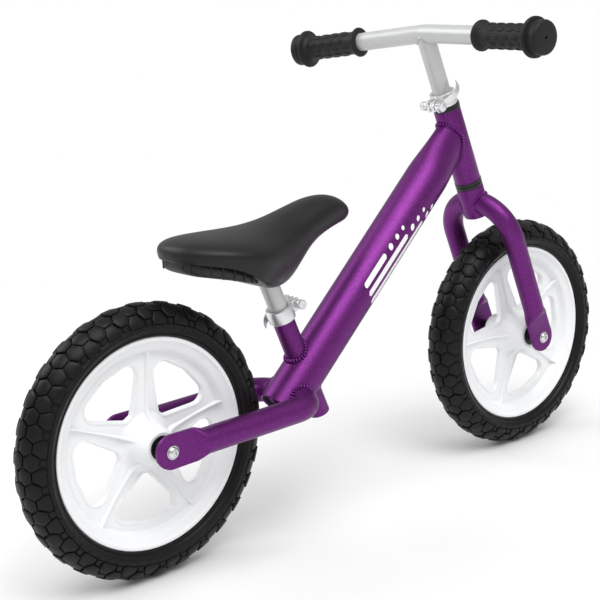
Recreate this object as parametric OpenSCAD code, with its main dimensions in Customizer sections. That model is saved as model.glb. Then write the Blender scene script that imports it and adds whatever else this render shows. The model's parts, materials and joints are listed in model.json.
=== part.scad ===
// Balance bike for a small child: welded tube frame, fork, clamped seat and
// handlebar, and two five-spoke wheels with foam tyres. Millimetres.
// +X is forward, +Y is the rider's left, +Z is up, and the origin is on the
// floor midway between the two wheels.

/* [Layout] */
// Distance between the two axles
wheel_base = 591.4; // [560:1:700]
// Height of both axles above the floor, which is the tyre's outer radius
wheel_r = 150; // [145:1:165]
// Angle of the steering axis above the floor, through the front axle
head_angle = 69.1; // [66:0.1:73]
// Angle of the main tube above the floor
main_angle = 43.3; // [41:0.1:46]
// How far the main tube's lower end is behind the origin
main_low_x = 109.3; // [95:0.1:120]
// Height of the main tube's lower end, on its axis
main_low_z = 140.5; // [130:0.1:150]
// Angle of the seat tube above the floor
seat_angle = 68.6; // [66:0.1:72]
// How far the seat tube's lower end is behind the origin
seat_low_x = 50.3; // [45:0.1:58]
// Height of the seat tube's lower end, on its axis
seat_low_z = 122; // [112:0.1:130]
// How far the handlebar is turned to the left in its clamp
bar_turn = 5; // [0:0.5:8]

/* [Frame tubes] */
// Outside diameter of the main tube
main_od = 52.4; // [48:0.1:58]
// Wall of the main tube
main_wall = 2.2; // [1.6:0.1:3]
// Outside diameter of the head tube
head_od = 33.2; // [33:0.1:38]
// Where the head tube starts, up the steering axis from the axle
head_low = 229.5; // [224:0.5:236]
// Length of the head tube
head_len = 99; // [90:1:106]
// Outside diameter of the seat tube
seat_od = 25.4; // [24.8:0.1:28.6]
// Wall of the seat tube
seat_wall = 1.5; // [1.2:0.1:1.8]
// Length of the seat tube
seat_len = 147; // [140:0.5:156]
// Outside diameter of the two rear stays
stay_od = 28.6; // [25.4:0.1:30]
// Wall of the stays and fork legs
leg_wall = 1.8; // [1.2:0.1:2.4]
// Centreline radius of the stays' bend
stay_bend_r = 30; // [26:1:36]
// How far up the main tube's axis the stays are welded on
stay_weld_up = 19; // [17:0.5:28]
// Size of the weld beads
bead = 3; // [2:0.1:4]

/* [Axle ends] */
// Distance between the insides of a pair of flattened tube ends
dropout_gap = 96; // [92:0.5:104]
// Thickness of a flattened tube end
dropout_t = 5; // [4:0.1:6]
// Radius of the round end of a flattened tube end
dropout_r = 18.6; // [17:0.1:21]
// How far the flat runs from the axle before the tube grows round
dropout_flat = 27; // [24:0.5:32]
// Length over which the flat grows round
dropout_blend = 16; // [12:0.5:24]
// Diameter of the axle bolts
bolt_d = 6; // [5:0.5:8]
// Clearance of bolts and skewers in their holes, on the radius
bolt_clear = 0.2; // [0.15:0.05:0.3]
// How far the bolts reach into the axle
bolt_in = 16; // [10:1:24]
// Diameter of the button heads of the axle bolts
bolt_head_d = 13; // [11:0.5:14]
// Height of the button heads of the axle bolts
bolt_head_h = 3.6; // [3:0.1:4.5]
// Outside diameter of the washers under them
washer_d = 15; // [14:0.5:17]
// Thickness of those washers
washer_t = 1.2; // [0.8:0.1:1.6]

/* [Fork and steering] */
// Outside diameter of the steerer tube
steerer_od = 25.4; // [24.8:0.1:26.2]
// Wall of the head tube
head_wall = 1.6; // [1.4:0.1:2]
// Wall of a headset cup's skirt
cup_wall = 1.1; // [1:0.1:1.3]
// Outside diameter of the crown tube
crown_od = 34; // [33:0.1:40]
// Where the crown tube starts, up the steering axis from the axle
crown_low = 180; // [172:0.5:184]
// Outside diameter of the fork legs
leg_od = 26.4; // [24:0.1:28.6]
// Where the top of the legs' bend is, up the steering axis from the axle
leg_top = 198.5; // [194:0.5:203]
// Centreline radius of a leg's bend
leg_bend_r = 50; // [44:1:56]
// Thickness of each of the two lower headset rings
ring_t = 4; // [3:0.1:5]
// Thickness of each of the two upper headset rings
top_ring_t = 2.4; // [2:0.1:3.5]
// Outside diameter of the black headset rings
ring_d = 34.2; // [33.6:0.1:40]
// Gap between a headset ring and the one it turns against
ring_gap = 0.4; // [0.3:0.1:0.6]
// Height of the steering bearings
steer_bearing_h = 9; // [7:0.5:12]

/* [Handlebar] */
// Outside diameter of the handlebar, its stem and the seat post
bar_od = 22.2; // [21.8:0.1:22.3]
// Wall of the handlebar, its stem and the seat post
bar_wall = 1.6; // [1.2:0.1:2.4]
// Height of the handlebar's middle, up the steering axis from the axle
bar_up = 427; // [415:1:450]
// Half the handlebar's width, to the end of the tube
bar_half = 186.5; // [170:0.5:220]
// How far each end is swept back
bar_sweep = 26; // [16:1:34]
// How far each end rises
bar_rise = -2; // [-5:0.5:6]
// How far the stem reaches down inside the steerer
stem_in = 96; // [80:1:110]
// Length of a grip between its two flanges
grip_len = 76; // [68:1:90]
// Outside diameter of a grip
grip_od = 28; // [26:0.5:33]
// Diameter of a grip's inner flange
grip_in_d = 36; // [32:1:44]
// Thickness of a grip's inner flange
grip_in_t = 4; // [3:0.5:7]
// Diameter of a grip's end flange
grip_end_d = 46; // [42:1:54]
// Thickness of a grip's end flange
grip_end_t = 5; // [4:0.5:8]
// Diameter of the plug outside the end flange
grip_plug_d = 39; // [34:1:42]
// Length of that plug
grip_plug_len = 14; // [10:0.5:18]
// Thickness of the rubber over the end of the bar
grip_end_wall = 4; // [2:0.5:6]
// Diameter of the vent hole in a grip's end
grip_hole_d = 5; // [4:0.5:8]

/* [Clamp collars] */
// Height of a clamp collar
collar_h = 16; // [13:0.5:18]
// Wall of a clamp collar
collar_wall = 3; // [2.6:0.1:4]
// Slot between a collar's two ears
ear_gap = 3.4; // [2.4:0.1:4]
// Thickness of each ear
ear_t = 4.2; // [3:0.1:5]
// Distance from the tube's axis to the skewer
ear_reach = 23; // [22:0.5:26]
// Diameter of the skewer
skewer_d = 5; // [4:0.5:6]
// Diameter of the thumb nut
nut_d = 11; // [9:0.5:13]
// Thickness of the thumb nut
nut_t = 8; // [6:0.5:10]
// Radius of the lever's cam
cam_r = 6.6; // [6:0.1:7.5]
// Width of the lever
lever_w = 9.6; // [9:0.1:12]
// Thickness of the lever's arm
lever_t = 2.6; // [2:0.1:3.4]
// Distance from the tube's axis to the inside of the lever's arm
lever_in_r = 21.5; // [20.5:0.5:23]
// How far round the tube the lever's arm reaches
lever_wrap = 148; // [120:1:160]
// Tilt of the saddle clamp's lever below level with its collar
seat_lever_tilt = -14; // [-24:1:0]
// Tilt of the handlebar clamp's lever above level with its collar
bar_lever_tilt = 22; // [10:1:30]

/* [Saddle] */
// Length of the saddle
saddle_len = 248; // [234:1:262]
// Greatest width of the saddle
saddle_w = 136; // [126:1:150]
// Height of the saddle's flat top above the floor
saddle_top = 361; // [355:1:372]
// How far behind the origin the saddle's rear end is
saddle_rear_x = 248; // [240:1:256]
// Thickness of the foam pad on its pan
pad_t = 17; // [13:0.5:20]
// Thickness of the pad down its sides
pad_side_t = 6; // [4:0.5:8]
// Thickness of the pad at its two ends
pad_end_t = 10; // [8:0.5:14]
// Wall of the moulded pan
pan_t = 3; // [2.4:0.1:4]
// How far the seat post reaches down inside its tube
post_in = 92; // [80:1:100]
// Size of the mounting plate on the seat post
post_plate_w = 36; // [34:1:42]
// Thickness of the mounting plate
plate_t = 3; // [2:0.5:4]
// How far the plate is below the saddle's flat top
plate_down = 29; // [27:0.5:31]
// Diameter of the four screws through the plate
screw_d = 5; // [4:0.5:6]
// How far those screws reach into the pan
screw_in = 9; // [6:0.5:10]

/* [Wheels] */
// Width of the tyre
tyre_w = 51.4; // [46:0.2:56]
// Visible outer radius of the plastic rim
rim_r = 115; // [110:0.5:118]
// How far round its section the tyre's side reaches, from the tread's middle
bead_angle = 144; // [132:6:150]
// Depth of the tyre's root in the rim's channel
root_h = 7.5; // [6:0.5:9]
// Width of the rim across its two edges
rim_w = 33.2; // [30:0.2:38]
// Width of the rim's channel
channel_w = 25; // [20:0.5:28]
// Inner radius of the rim's ring
ring_in_r = 96; // [92:0.5:99]
// Thickness of the wheel's web
web_t = 7; // [5:0.5:9]
// Number of spokes
spokes = 5; // [3:1:7]
// Width of a spoke at its narrowest
spoke_w = 19; // [15:0.5:24]
// Height of the thin rib along each spoke, on each side
rib_h = 8; // [4:0.5:10]
// Thickness of that rib
rib_t = 3; // [2:0.5:5]
// Radius of the hub at the web
hub_r = 24; // [21:0.5:28]
// Length of the hub
hub_len = 66; // [60:1:76]
// Outside diameter of the wheel bearings
bearing_od = 26; // [24:0.5:28]
// Bore of the wheel bearings
bearing_id = 10; // [9:0.5:12]
// Width of the wheel bearings
bearing_w = 8; // [6:0.5:9]
// Outside diameter of the spacers beside the bearings
spacer_d = 15; // [13.5:0.5:18]
// How far the rear wheel's spokes are turned
rear_phase = 13.3; // [0:0.1:71]
// How far the front wheel's spokes are turned
front_phase = 34.8; // [0:0.1:71]

/* [Hidden] */
$fn = 64;
run_clear = 0.05;   // radial clearance of a turning or sliding fit
part_gap = 0.3;     // gap between pieces that move past each other
purple = "#6c2a80";
bright = "#c9cbce";
pale = "#dcdddc";
black = "#26262a";
white = "#f1f2f3";

axle_x = wheel_base / 2;

// Main tube: where its axis meets the steering axis
main_len = ((axle_x + main_low_x) * sin(head_angle)
    + (wheel_r - main_low_z) * cos(head_angle)) / sin(head_angle + main_angle);

// Stays: a cross stretch through the main tube's axis, then back to the axle
stay_x = -main_low_x + stay_weld_up * cos(main_angle);
stay_z = main_low_z + stay_weld_up * sin(main_angle);
stay_tilt = atan2(stay_z - wheel_r, stay_x + axle_x);
stay_reach = norm([stay_z - wheel_r, stay_x + axle_x]);
dropout_y = dropout_gap / 2 + dropout_t / 2;
flat_end_len = dropout_flat + dropout_blend;

// Fork legs: one bend out of the crown, then straight down to the axle
leg_bend_z = leg_top - leg_bend_r;

// Headset, from the crown up
head_top = head_low + head_len;
head_bore_d = head_od - 2 * head_wall;
cup_bore_d = head_bore_d - 2 * cup_wall;
steerer_id = bar_od + 2 * run_clear;
crown_top = head_low - 2 * ring_t - ring_gap;
collar_low = head_top + 2 * top_ring_t + ring_gap + part_gap;
steerer_top = collar_low + collar_h + 0.5;

// Seat tube and its collar
seat_collar_low = seat_len - collar_h - 0.5;

// Clamp lever: the ear's washer, then the cam's pin
washer_out = ear_gap / 2 + ear_t + 2;
pivot_y = washer_out + cam_r + part_gap;

// Axle stack, outwards from the wheel's centre
hub_end = hub_len / 2;
hub_end_r = bearing_od / 2 + 3.5;
dropout_out = dropout_gap / 2 + dropout_t;
axle_d = bearing_id - 2 * run_clear;

// Saddle's mounting plate, on the seat post's axis
post_low = seat_len - post_in;
plate_z = saddle_top - plate_down;
post_x = -seat_low_x - (plate_z - seat_low_z) / tan(seat_angle);

// Frame of the steering axis: the front axle is its origin and +Z is up it
module on_steering() {
    translate([axle_x, 0, wheel_r])
        rotate([0, head_angle - 90, 0])
            children();
}

// Frame of the main tube: its lower end is the origin and +Z is up it
module on_main() {
    translate([-main_low_x, 0, main_low_z])
        rotate([0, 90 - main_angle, 0])
            children();
}

// Frame of the seat tube: its lower end is the origin and +Z is up it
module on_seat() {
    translate([-seat_low_x, 0, seat_low_z])
        rotate([0, seat_angle - 90, 0])
            children();
}

// A plain tube up +Z, from one height to another
module tube(od, wall, from, to) {
    difference() {
        translate([0, 0, from])
            cylinder(d = od, h = to - from);
        translate([0, 0, from - 1])
            cylinder(d = od - 2 * wall, h = to - from + 2);
    }
}

// A ring up +Z
module ring(od, id, from, to) {
    tube(od, (od - id) / 2, from, to);
}

// A solid round bar between two points
module rod(a, b, d) {
    v = b - a;
    translate(a)
        rotate([0, acos(v[2] / norm(v)), atan2(v[1], v[0])])
            cylinder(d = d, h = norm(v));
}

// A bent solid bar about +Z, starting on +X
module bend(r, d, angle) {
    rotate_extrude(angle = angle)
        translate([r, 0])
            circle(d = d);
}

// A flattened tube end: the axle is at the origin along Y, the tube is up +Z
module flat_end(od) {
    difference() {
        union() {
            rotate([90, 0, 0])
                cylinder(r = dropout_r, h = dropout_t, center = true);
            translate([-dropout_r, -dropout_t / 2, 0])
                cube([2 * dropout_r, dropout_t, dropout_flat]);
            hull() {
                translate([-dropout_r, -dropout_t / 2, dropout_flat - 1])
                    cube([2 * dropout_r, dropout_t, 1]);
                translate([0, 0, flat_end_len])
                    cylinder(d = od, h = 1, $fn = 32);
            }
        }
        rotate([90, 0, 0])
            cylinder(d = bolt_d + 2 * bolt_clear, h = dropout_t + 2, center = true);
    }
}

// ---- Frame ----

module main_solid(d, from, to) {
    on_main()
        translate([0, 0, from])
            cylinder(d = d, h = to - from);
}

module head_solid(d, from, to) {
    on_steering()
        translate([0, 0, from])
            cylinder(d = d, h = to - from);
}

module seat_solid(d, from, to) {
    on_seat()
        translate([0, 0, from])
            cylinder(d = d, h = to - from);
}

module main_tube() {
    color(purple)
        difference() {
            on_main()
                tube(main_od, main_wall, 0, main_len);
            head_solid(head_od, 0, head_top + main_od);
            seat_solid(seat_od, -main_od, seat_len);
        }
}

module head_tube() {
    color(purple)
        on_steering()
            tube(head_od, head_wall, head_low, head_top);
}

module seat_tube() {
    slot_len = 28;
    slot_w = 2.4;
    color(purple)
        difference() {
            on_seat()
                tube(seat_od, seat_wall, 0, seat_len);
            on_seat()
                translate([0, -slot_w / 2, seat_len - slot_len])
                    cube([seat_od, slot_w, slot_len + 1]);
        }
}

// Frame of the stays: on the main tube's axis, with -X towards the rear axle
module on_stays() {
    translate([stay_x, 0, stay_z])
        rotate([0, -stay_tilt, 0])
            children();
}

// The left stay's round stretch as a solid bar
module stay_bar(d, straight) {
    rotate([-90, 0, 0])
        translate([0, 0, main_od / 4])
            cylinder(d = d, h = dropout_y - stay_bend_r - main_od / 4);
    translate([-stay_bend_r, dropout_y - stay_bend_r, 0])
        bend(stay_bend_r, d, 90);
    translate([-stay_bend_r, dropout_y, 0])
        rotate([0, -90, 0])
            cylinder(d = d, h = straight);
}

module stay(side) {
    straight = stay_reach - flat_end_len - stay_bend_r;
    color(purple)
        difference() {
            on_stays()
                mirror([0, side > 0 ? 0 : 1, 0])
                    difference() {
                        union() {
                            stay_bar(stay_od, straight);
                            translate([-stay_reach, dropout_y, 0])
                                rotate([0, 90, 0])
                                    flat_end(stay_od);
                        }
                        stay_bar(stay_od - 2 * leg_wall, straight);
                    }
            main_solid(main_od, -stay_od, main_len / 2);
        }
}

module stay_left() { stay(1); }
module stay_right() { stay(-1); }

module frame_welds() {
    grow = 2 * bead;
    color(purple) {
        difference() {
            intersection() {
                main_solid(main_od + grow, main_len - main_od, main_len);
                head_solid(head_od + grow, head_low, head_top);
            }
            main_solid(main_od, 0, main_len + main_od);
            head_solid(head_od, 0, head_top + main_od);
        }
        difference() {
            intersection() {
                main_solid(main_od + grow, 0, main_len / 2);
                seat_solid(seat_od + grow, 0, seat_len);
            }
            main_solid(main_od, -1, main_len);
            seat_solid(seat_od, -1, seat_len);
        }
        for (side = [-90, 90])
            difference() {
                intersection() {
                    main_solid(main_od + grow, 0, main_len / 2);
                    on_stays()
                        rotate([side, 0, 0])
                            cylinder(d = stay_od + grow, h = main_od);
                }
                main_solid(main_od, -1, main_len);
                on_stays()
                    mirror([0, side > 0 ? 1 : 0, 0])
                        stay_bar(stay_od, main_od);
            }
    }
}

// ---- Steering bearings, fork ----

module headset_lower_cup() {
    color(black)
        on_steering() {
            ring(ring_d, cup_bore_d, head_low - ring_t, head_low);
            ring(head_bore_d, cup_bore_d, head_low, head_low + steer_bearing_h);
        }
}

module headset_upper_cup() {
    color(black)
        on_steering() {
            ring(ring_d, cup_bore_d, head_top, head_top + top_ring_t);
            ring(head_bore_d, cup_bore_d, head_top - steer_bearing_h, head_top);
        }
}

module steering_bearings() {
    color(bright)
        on_steering()
            for (z = [head_low, head_top - steer_bearing_h])
                ring(cup_bore_d, steerer_od + 2 * run_clear, z, z + steer_bearing_h);
}

module headset_crown_race() {
    color(black)
        on_steering()
            ring(ring_d, steerer_od, crown_top, crown_top + ring_t);
}

module headset_top_cap() {
    low = head_top + top_ring_t + ring_gap;
    color(black)
        on_steering()
            ring(ring_d, steerer_od, low, low + top_ring_t);
}

module fork_steerer() {
    slot_len = 26;
    slot_w = 2.4;
    color(bright)
        on_steering()
            difference() {
                translate([0, 0, crown_low + 2])
                    cylinder(d = steerer_od, h = steerer_top - crown_low - 2);
                translate([0, 0, crown_low])
                    cylinder(d = steerer_id, h = steerer_top - crown_low + 1);
                translate([-steerer_od, -slot_w / 2, steerer_top - slot_len])
                    cube([steerer_od, slot_w, slot_len + 1]);
            }
}

module fork_crown() {
    color(purple)
        on_steering()
            ring(crown_od, steerer_od, crown_low, crown_top);
}

// The left leg's round stretch as a solid bar
module leg_bar(d) {
    translate([0, dropout_y - leg_bend_r, leg_bend_z])
        rotate([90, 0, 90])
            bend(leg_bend_r, d, 90);
    translate([0, dropout_y, flat_end_len])
        cylinder(d = d, h = leg_bend_z - flat_end_len);
}

module fork_leg(side) {
    color(purple)
        on_steering()
            mirror([0, side > 0 ? 0 : 1, 0])
                difference() {
                    union() {
                        leg_bar(leg_od);
                        translate([0, dropout_y, 0])
                            flat_end(leg_od);
                    }
                    leg_bar(leg_od - 2 * leg_wall);
                    translate([0, 0, crown_low - leg_od])
                        cylinder(d = crown_od, h = crown_top - crown_low + 2 * leg_od);
                }
}

module fork_leg_left() { fork_leg(1); }
module fork_leg_right() { fork_leg(-1); }

// A bead round each leg, laid on the crown where the leg's bend comes out of it
module fork_welds() {
    out = (crown_od / 2 + leg_bend_r - dropout_y) / leg_bend_r;
    slope = acos(out);
    from = [0, crown_od / 2, leg_bend_z + leg_bend_r * sin(slope)];
    along = [0, sin(slope), -cos(slope)];
    color(purple)
        on_steering()
            for (side = [0, 1])
                mirror([0, side, 0])
                    difference() {
                        intersection() {
                            ring(crown_od + 2 * bead, crown_od, crown_low, crown_top - 1);
                            rod(from - leg_od / 2 * along, from + leg_od * along, leg_od + 2 * bead);
                        }
                        leg_bar(leg_od);
                    }
}

// ---- Clamp collars with their levers ----
// Each is made about +Z, centred on its own height, with its ears on +X, the
// thumb nut on -Y and the lever on +Y. The lever's arm goes back past the tube.

module collar_body(bore_d) {
    out_d = bore_d + 2 * collar_wall;
    color(bright)
        difference() {
            union() {
                cylinder(d = out_d, h = collar_h, center = true);
                for (side = [-1, 1])
                    translate([
                        bore_d / 2, side * (ear_gap + ear_t) / 2 - ear_t / 2, -collar_h / 2 + 1
                    ])
                        cube([ear_reach + skewer_d + 1 - bore_d / 2, ear_t, collar_h - 2]);
            }
            cylinder(d = bore_d, h = collar_h + 2, center = true);
            translate([0, -ear_gap / 2, -collar_h])
                cube([ear_reach * 2, ear_gap, 2 * collar_h]);
            translate([ear_reach, 0, 0])
                rotate([90, 0, 0])
                    cylinder(d = skewer_d + 2 * bolt_clear, h = 4 * ear_reach, center = true);
        }
}

// The rod through the ears, its cross pin in the cam, and the shaped washer
module skewer() {
    color(bright)
        translate([ear_reach, 0, 0]) {
            rotate([90, 0, 0])
                translate([0, 0, -pivot_y])
                    cylinder(d = skewer_d, h = pivot_y + washer_out + nut_t - 1);
            translate([0, pivot_y, 0])
                cylinder(d = skewer_d + 1, h = lever_w - 0.6, center = true);
            translate([0, ear_gap / 2 + ear_t, 0])
                rotate([-90, 0, 0])
                    cylinder(d = nut_d - 1, h = 2);
        }
}

module thumb_nut() {
    color(bright)
        translate([ear_reach, -ear_gap / 2 - ear_t, 0])
            rotate([90, 0, 0])
                difference() {
                    union() {
                        cylinder(d = nut_d - 2.5, h = 2);
                        translate([0, 0, 1.5])
                            cylinder(d = nut_d, h = nut_t);
                    }
                    translate([0, 0, -1])
                        cylinder(d = skewer_d, h = washer_out + nut_t);
                }
}

// The lever turns about its cam's pin; tilt turns it about the skewer
module cam_lever() {
    arm_start = 38;
    cheek_gap = skewer_d + 0.8;
    color(bright)
        difference() {
            union() {
                translate([ear_reach, pivot_y, 0])
                    cylinder(r = cam_r, h = lever_w, center = true);
                rotate([0, 0, arm_start])
                    rotate_extrude(angle = lever_wrap - arm_start)
                        translate([lever_in_r, -lever_w / 2])
                            square([lever_t, lever_w]);
            }
            translate([ear_reach, pivot_y, 0]) {
                cylinder(d = skewer_d + 1 + 2 * run_clear, h = 2 * lever_w, center = true);
                difference() {
                    cylinder(r = cam_r + 1.2, h = cheek_gap, center = true);
                    rotate([0, 0, 165])
                        translate([cam_r - 2, -2 * cam_r, -cheek_gap])
                            cube([4 * cam_r, 4 * cam_r, 2 * cheek_gap]);
                }
            }
        }
}

module tilted(angle) {
    translate([ear_reach, 0, 0])
        rotate([0, -angle, 0])
            translate([-ear_reach, 0, 0])
                children();
}

module on_stem_collar() {
    on_steering()
        translate([0, 0, collar_low + collar_h / 2])
            rotate([0, 0, 180])
                children();
}

module stem_collar() { on_stem_collar() collar_body(steerer_od + 2 * run_clear); }
module stem_skewer() { on_stem_collar() tilted(-bar_lever_tilt) skewer(); }
module stem_nut() { on_stem_collar() thumb_nut(); }
module stem_lever() { on_stem_collar() tilted(-bar_lever_tilt) cam_lever(); }

module on_seat_collar() {
    on_seat()
        translate([0, 0, seat_collar_low + collar_h / 2])
            children();
}

module seat_collar() { on_seat_collar() collar_body(seat_od + 2 * run_clear); }
module seat_skewer() { on_seat_collar() tilted(-seat_lever_tilt) skewer(); }
module seat_nut() { on_seat_collar() thumb_nut(); }
module seat_lever() { on_seat_collar() tilted(-seat_lever_tilt) cam_lever(); }

// ---- Handlebar ----

module on_bar() {
    on_steering()
        rotate([0, 0, bar_turn])
            children();
}

function bar_tip(side) = [-bar_sweep, side * bar_half, bar_up + bar_rise];

// A point on the handlebar's axis, at a share of the way from its middle out
function bar_at(side, share) = [0, 0, bar_up] + share * (bar_tip(side) - [0, 0, bar_up]);

// The left half of the bar as a solid, cut off square at the middle
module bar_left(d, share) {
    difference() {
        rod(bar_at(1, -0.1), bar_at(1, share), d);
        translate([-bar_od, -bar_half, bar_up - bar_od])
            cube([2 * bar_od, bar_half, 2 * bar_od]);
    }
}

// Both halves of the bar, up to a share of the way out
module bar_solid(d, share = 1) {
    for (side = [0, 1])
        mirror([0, side, 0])
            bar_left(d, share);
}

module stem_tube() {
    color(pale)
        on_bar()
            difference() {
                tube(bar_od, bar_wall, steerer_top - stem_in, bar_up);
                bar_solid(bar_od);
            }
}

module handlebar() {
    color(pale)
        on_bar()
            difference() {
                bar_solid(bar_od);
                bar_solid(bar_od - 2 * bar_wall, 1.01);
            }
}

module stem_weld() {
    color(pale)
        on_bar()
            difference() {
                intersection() {
                    ring(bar_od + 2 * bead, bar_od, bar_up - bar_od, bar_up);
                    bar_solid(bar_od + 2 * bead);
                }
                bar_solid(bar_od);
            }
}

// Frame of one grip: the bar's end is the origin and +Z points out along it
module on_grip(side) {
    v = bar_tip(side) - [0, 0, bar_up];
    on_bar()
        translate(bar_tip(side))
            rotate([0, acos(v[2] / norm(v)), atan2(v[1], v[0])])
                children();
}

module grip(side) {
    plug_low = grip_end_wall - grip_plug_len;
    end_low = plug_low - grip_end_t;
    body_low = end_low - grip_len;
    edge = 3;
    color(black)
        on_grip(side)
            difference() {
                union() {
                    translate([0, 0, body_low])
                        cylinder(d = grip_od, h = grip_len + 1);
                    translate([0, 0, body_low - grip_in_t])
                        cylinder(d = grip_in_d, h = grip_in_t);
                    translate([0, 0, end_low])
                        cylinder(d = grip_end_d, h = grip_end_t);
                    translate([0, 0, plug_low])
                        cylinder(d = grip_plug_d, h = grip_plug_len - edge);
                    translate([0, 0, grip_end_wall - edge])
                        cylinder(d1 = grip_plug_d, d2 = grip_plug_d - 2 * edge, h = edge);
                }
                translate([0, 0, body_low - grip_in_t - 1])
                    cylinder(d = bar_od, h = grip_in_t + 1 - body_low);
                translate([0, 0, -1])
                    cylinder(d = grip_hole_d, h = grip_end_wall + 2);
            }
}

module grip_left() { grip(1); }
module grip_right() { grip(-1); }

// ---- Saddle and its post ----

module seat_post() {
    color(pale)
        difference() {
            on_seat()
                tube(bar_od, bar_wall, post_low, 3 * seat_len);
            translate([-saddle_len, -saddle_w, plate_z])
                cube([2 * saddle_len, 2 * saddle_w, saddle_len]);
        }
}

module post_plate() {
    color(bright)
        difference() {
            translate([post_x - post_plate_w / 2, -post_plate_w / 2, plate_z])
                cube([post_plate_w, post_plate_w, plate_t]);
            screw_places()
                translate([0, 0, plate_z - 1])
                    cylinder(d = screw_d + 2 * bolt_clear, h = plate_t + 2);
        }
}

// The four screws that hold the saddle down on the plate
module screw_places() {
    reach = post_plate_w / 2 - screw_d;
    for (sx = [-1, 1], sy = [-1, 1])
        translate([post_x + sx * reach, sy * reach, 0])
            children();
}

module saddle_screws() {
    color(bright)
        screw_places() {
            translate([0, 0, plate_z - 3])
                cylinder(d = 2 * screw_d - 1, h = 3);
            translate([0, 0, plate_z - 1])
                cylinder(d = screw_d, h = 1 + plate_t + screw_in);
        }
}

// Cross-sections of the saddle from its rear end to its nose. Each row is the
// place along the saddle, half the width, the height of the top, of the widest
// line and of the bottom, and half the width of the bottom. Places and widths
// are shares of the length and of the greatest half width, and heights are
// from the flat top.
saddle_rows = [
    [0.000, 0.15, -16, -24, -33, 0.12],
    [0.024, 0.41, -7, -19, -35, 0.36],
    [0.065, 0.63, -4, -18, -37, 0.56],
    [0.134, 0.85, -4, -20, -39, 0.75],
    [0.207, 0.96, -5, -22, -43, 0.80],
    [0.285, 1.00, -5.5, -24, -48, 0.72],
    [0.390, 0.92, -4.5, -27, -61, 0.46],
    [0.492, 0.75, -2, -29, -71, 0.27],
    [0.565, 0.63, 1.5, -26, -72, 0.24],
    [0.622, 0.56, 5, -21, -66, 0.24],
    [0.679, 0.51, 9, -15, -50, 0.25],
    [0.748, 0.46, 13, -7, -31, 0.27],
    [0.837, 0.42, 17, 0, -21.5, 0.27],
    [0.898, 0.38, 17, 1, -18, 0.25],
    [0.951, 0.33, 11.5, -1, -16, 0.22],
    [0.984, 0.24, 3, -5, -14.5, 0.16],
    [1.000, 0.10, -5, -9, -13, 0.07],
];

// One ring of points round a cross-section. The sides, the top and the ends are
// taken in, and the bottom is let down.
function saddle_ring(row, side_in, top_in, end_in, down) =
    let (
        x = -saddle_rear_x + end_in + row[0] * (saddle_len - 2 * end_in),
        hw = max(row[1] * saddle_w / 2 - side_in, 2),
        top = saddle_top + row[2] - top_in,
        mid = min(saddle_top + row[3], top - 3),
        low = min(saddle_top + row[4] - down, mid - 2),
        lw = max(row[5] * saddle_w / 2 - side_in, 1)
    )
    concat(
        [for (a = [0:15:180])
            [x, hw * sign(cos(a)) * pow(abs(cos(a)), 0.8), mid + (top - mid) * pow(sin(a), 0.8)]],
        [for (k = [0.35, 0.7, 1]) [x, -hw + (hw - lw) * k * k, mid + (low - mid) * k]],
        [for (k = [1, 0.7, 0.35]) [x, hw - (hw - lw) * k * k, mid + (low - mid) * k]]
    );

// A closed form through the saddle's cross-sections
module saddle_form(side_in = 0, top_in = 0, end_in = 0, down = 0) {
    rings = [for (row = saddle_rows) saddle_ring(row, side_in, top_in, end_in, down)];
    count = len(rings[0]);
    last = len(rings) - 1;
    polyhedron(
        points = [for (r = rings) each r],
        faces = concat(
            [for (j = [0:last - 1], i = [0:count - 1])
                [j * count + i, (j + 1) * count + i, (j + 1) * count + (i + 1) % count]],
            [for (j = [0:last - 1], i = [0:count - 1])
                [j * count + i, (j + 1) * count + (i + 1) % count, j * count + (i + 1) % count]],
            [[for (i = [0:count - 1]) i]],
            [[for (i = [count - 1:-1:0]) last * count + i]]
        )
    );
}

// Room for the seat post where it goes up into the saddle
module post_room() {
    seat_solid(bar_od + 2 * part_gap, seat_len, seat_len + saddle_len);
}

module saddle_pad() {
    color(black)
        difference() {
            saddle_form();
            saddle_form(pad_side_t, pad_t, pad_end_t, 1);
            post_room();
            screw_places()
                translate([0, 0, plate_z])
                    cylinder(d = screw_d + 2 * bolt_clear, h = plate_t + screw_in + 1);
        }
}

module saddle_pan() {
    fit = pad_side_t + 0.1;
    boss_d = 2 * screw_d + 1;
    rib_t = 2.4;
    color(black)
        difference() {
            intersection() {
                saddle_form(fit, pad_t + 0.1, pad_end_t + 0.1, -1);
                union() {
                    difference() {
                        translate([-2 * saddle_len, -saddle_w, 0])
                            cube([3 * saddle_len, 2 * saddle_w, 2 * saddle_top]);
                        saddle_form(fit + pan_t, pad_t + pan_t, pad_end_t + pan_t, 2);
                    }
                    screw_places()
                        translate([0, 0, plate_z + plate_t])
                            cylinder(d = boss_d, h = saddle_top);
                    for (x = [-saddle_rear_x + 30, -saddle_rear_x + 52, -saddle_rear_x + 74])
                        translate([x, -saddle_w, saddle_top - 31])
                            cube([rib_t, 2 * saddle_w, saddle_top]);
                    for (y = [-28, 0, 28])
                        translate([-saddle_rear_x + 10, y - rib_t / 2, saddle_top - 29])
                            cube([80, rib_t, saddle_top]);
                }
            }
            post_room();
            screw_places()
                translate([0, 0, plate_z])
                    cylinder(d = screw_d + 2 * run_clear, h = plate_t + screw_in + 1);
        }
}

// ---- Wheels, each made about the Y axis through its own axle ----

module at_wheel(x) {
    translate([x, 0, wheel_r])
        children();
}

// A solid of revolution about Y, from half a profile of [radius, y] points
module about_y(points) {
    rotate([90, 0, 0])
        rotate_extrude()
            polygon(points);
}

// A ring about Y between two places along it
module ring_y(od, id, from, to) {
    rotate([-90, 0, 0])
        ring(od, id, from, to);
}

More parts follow.
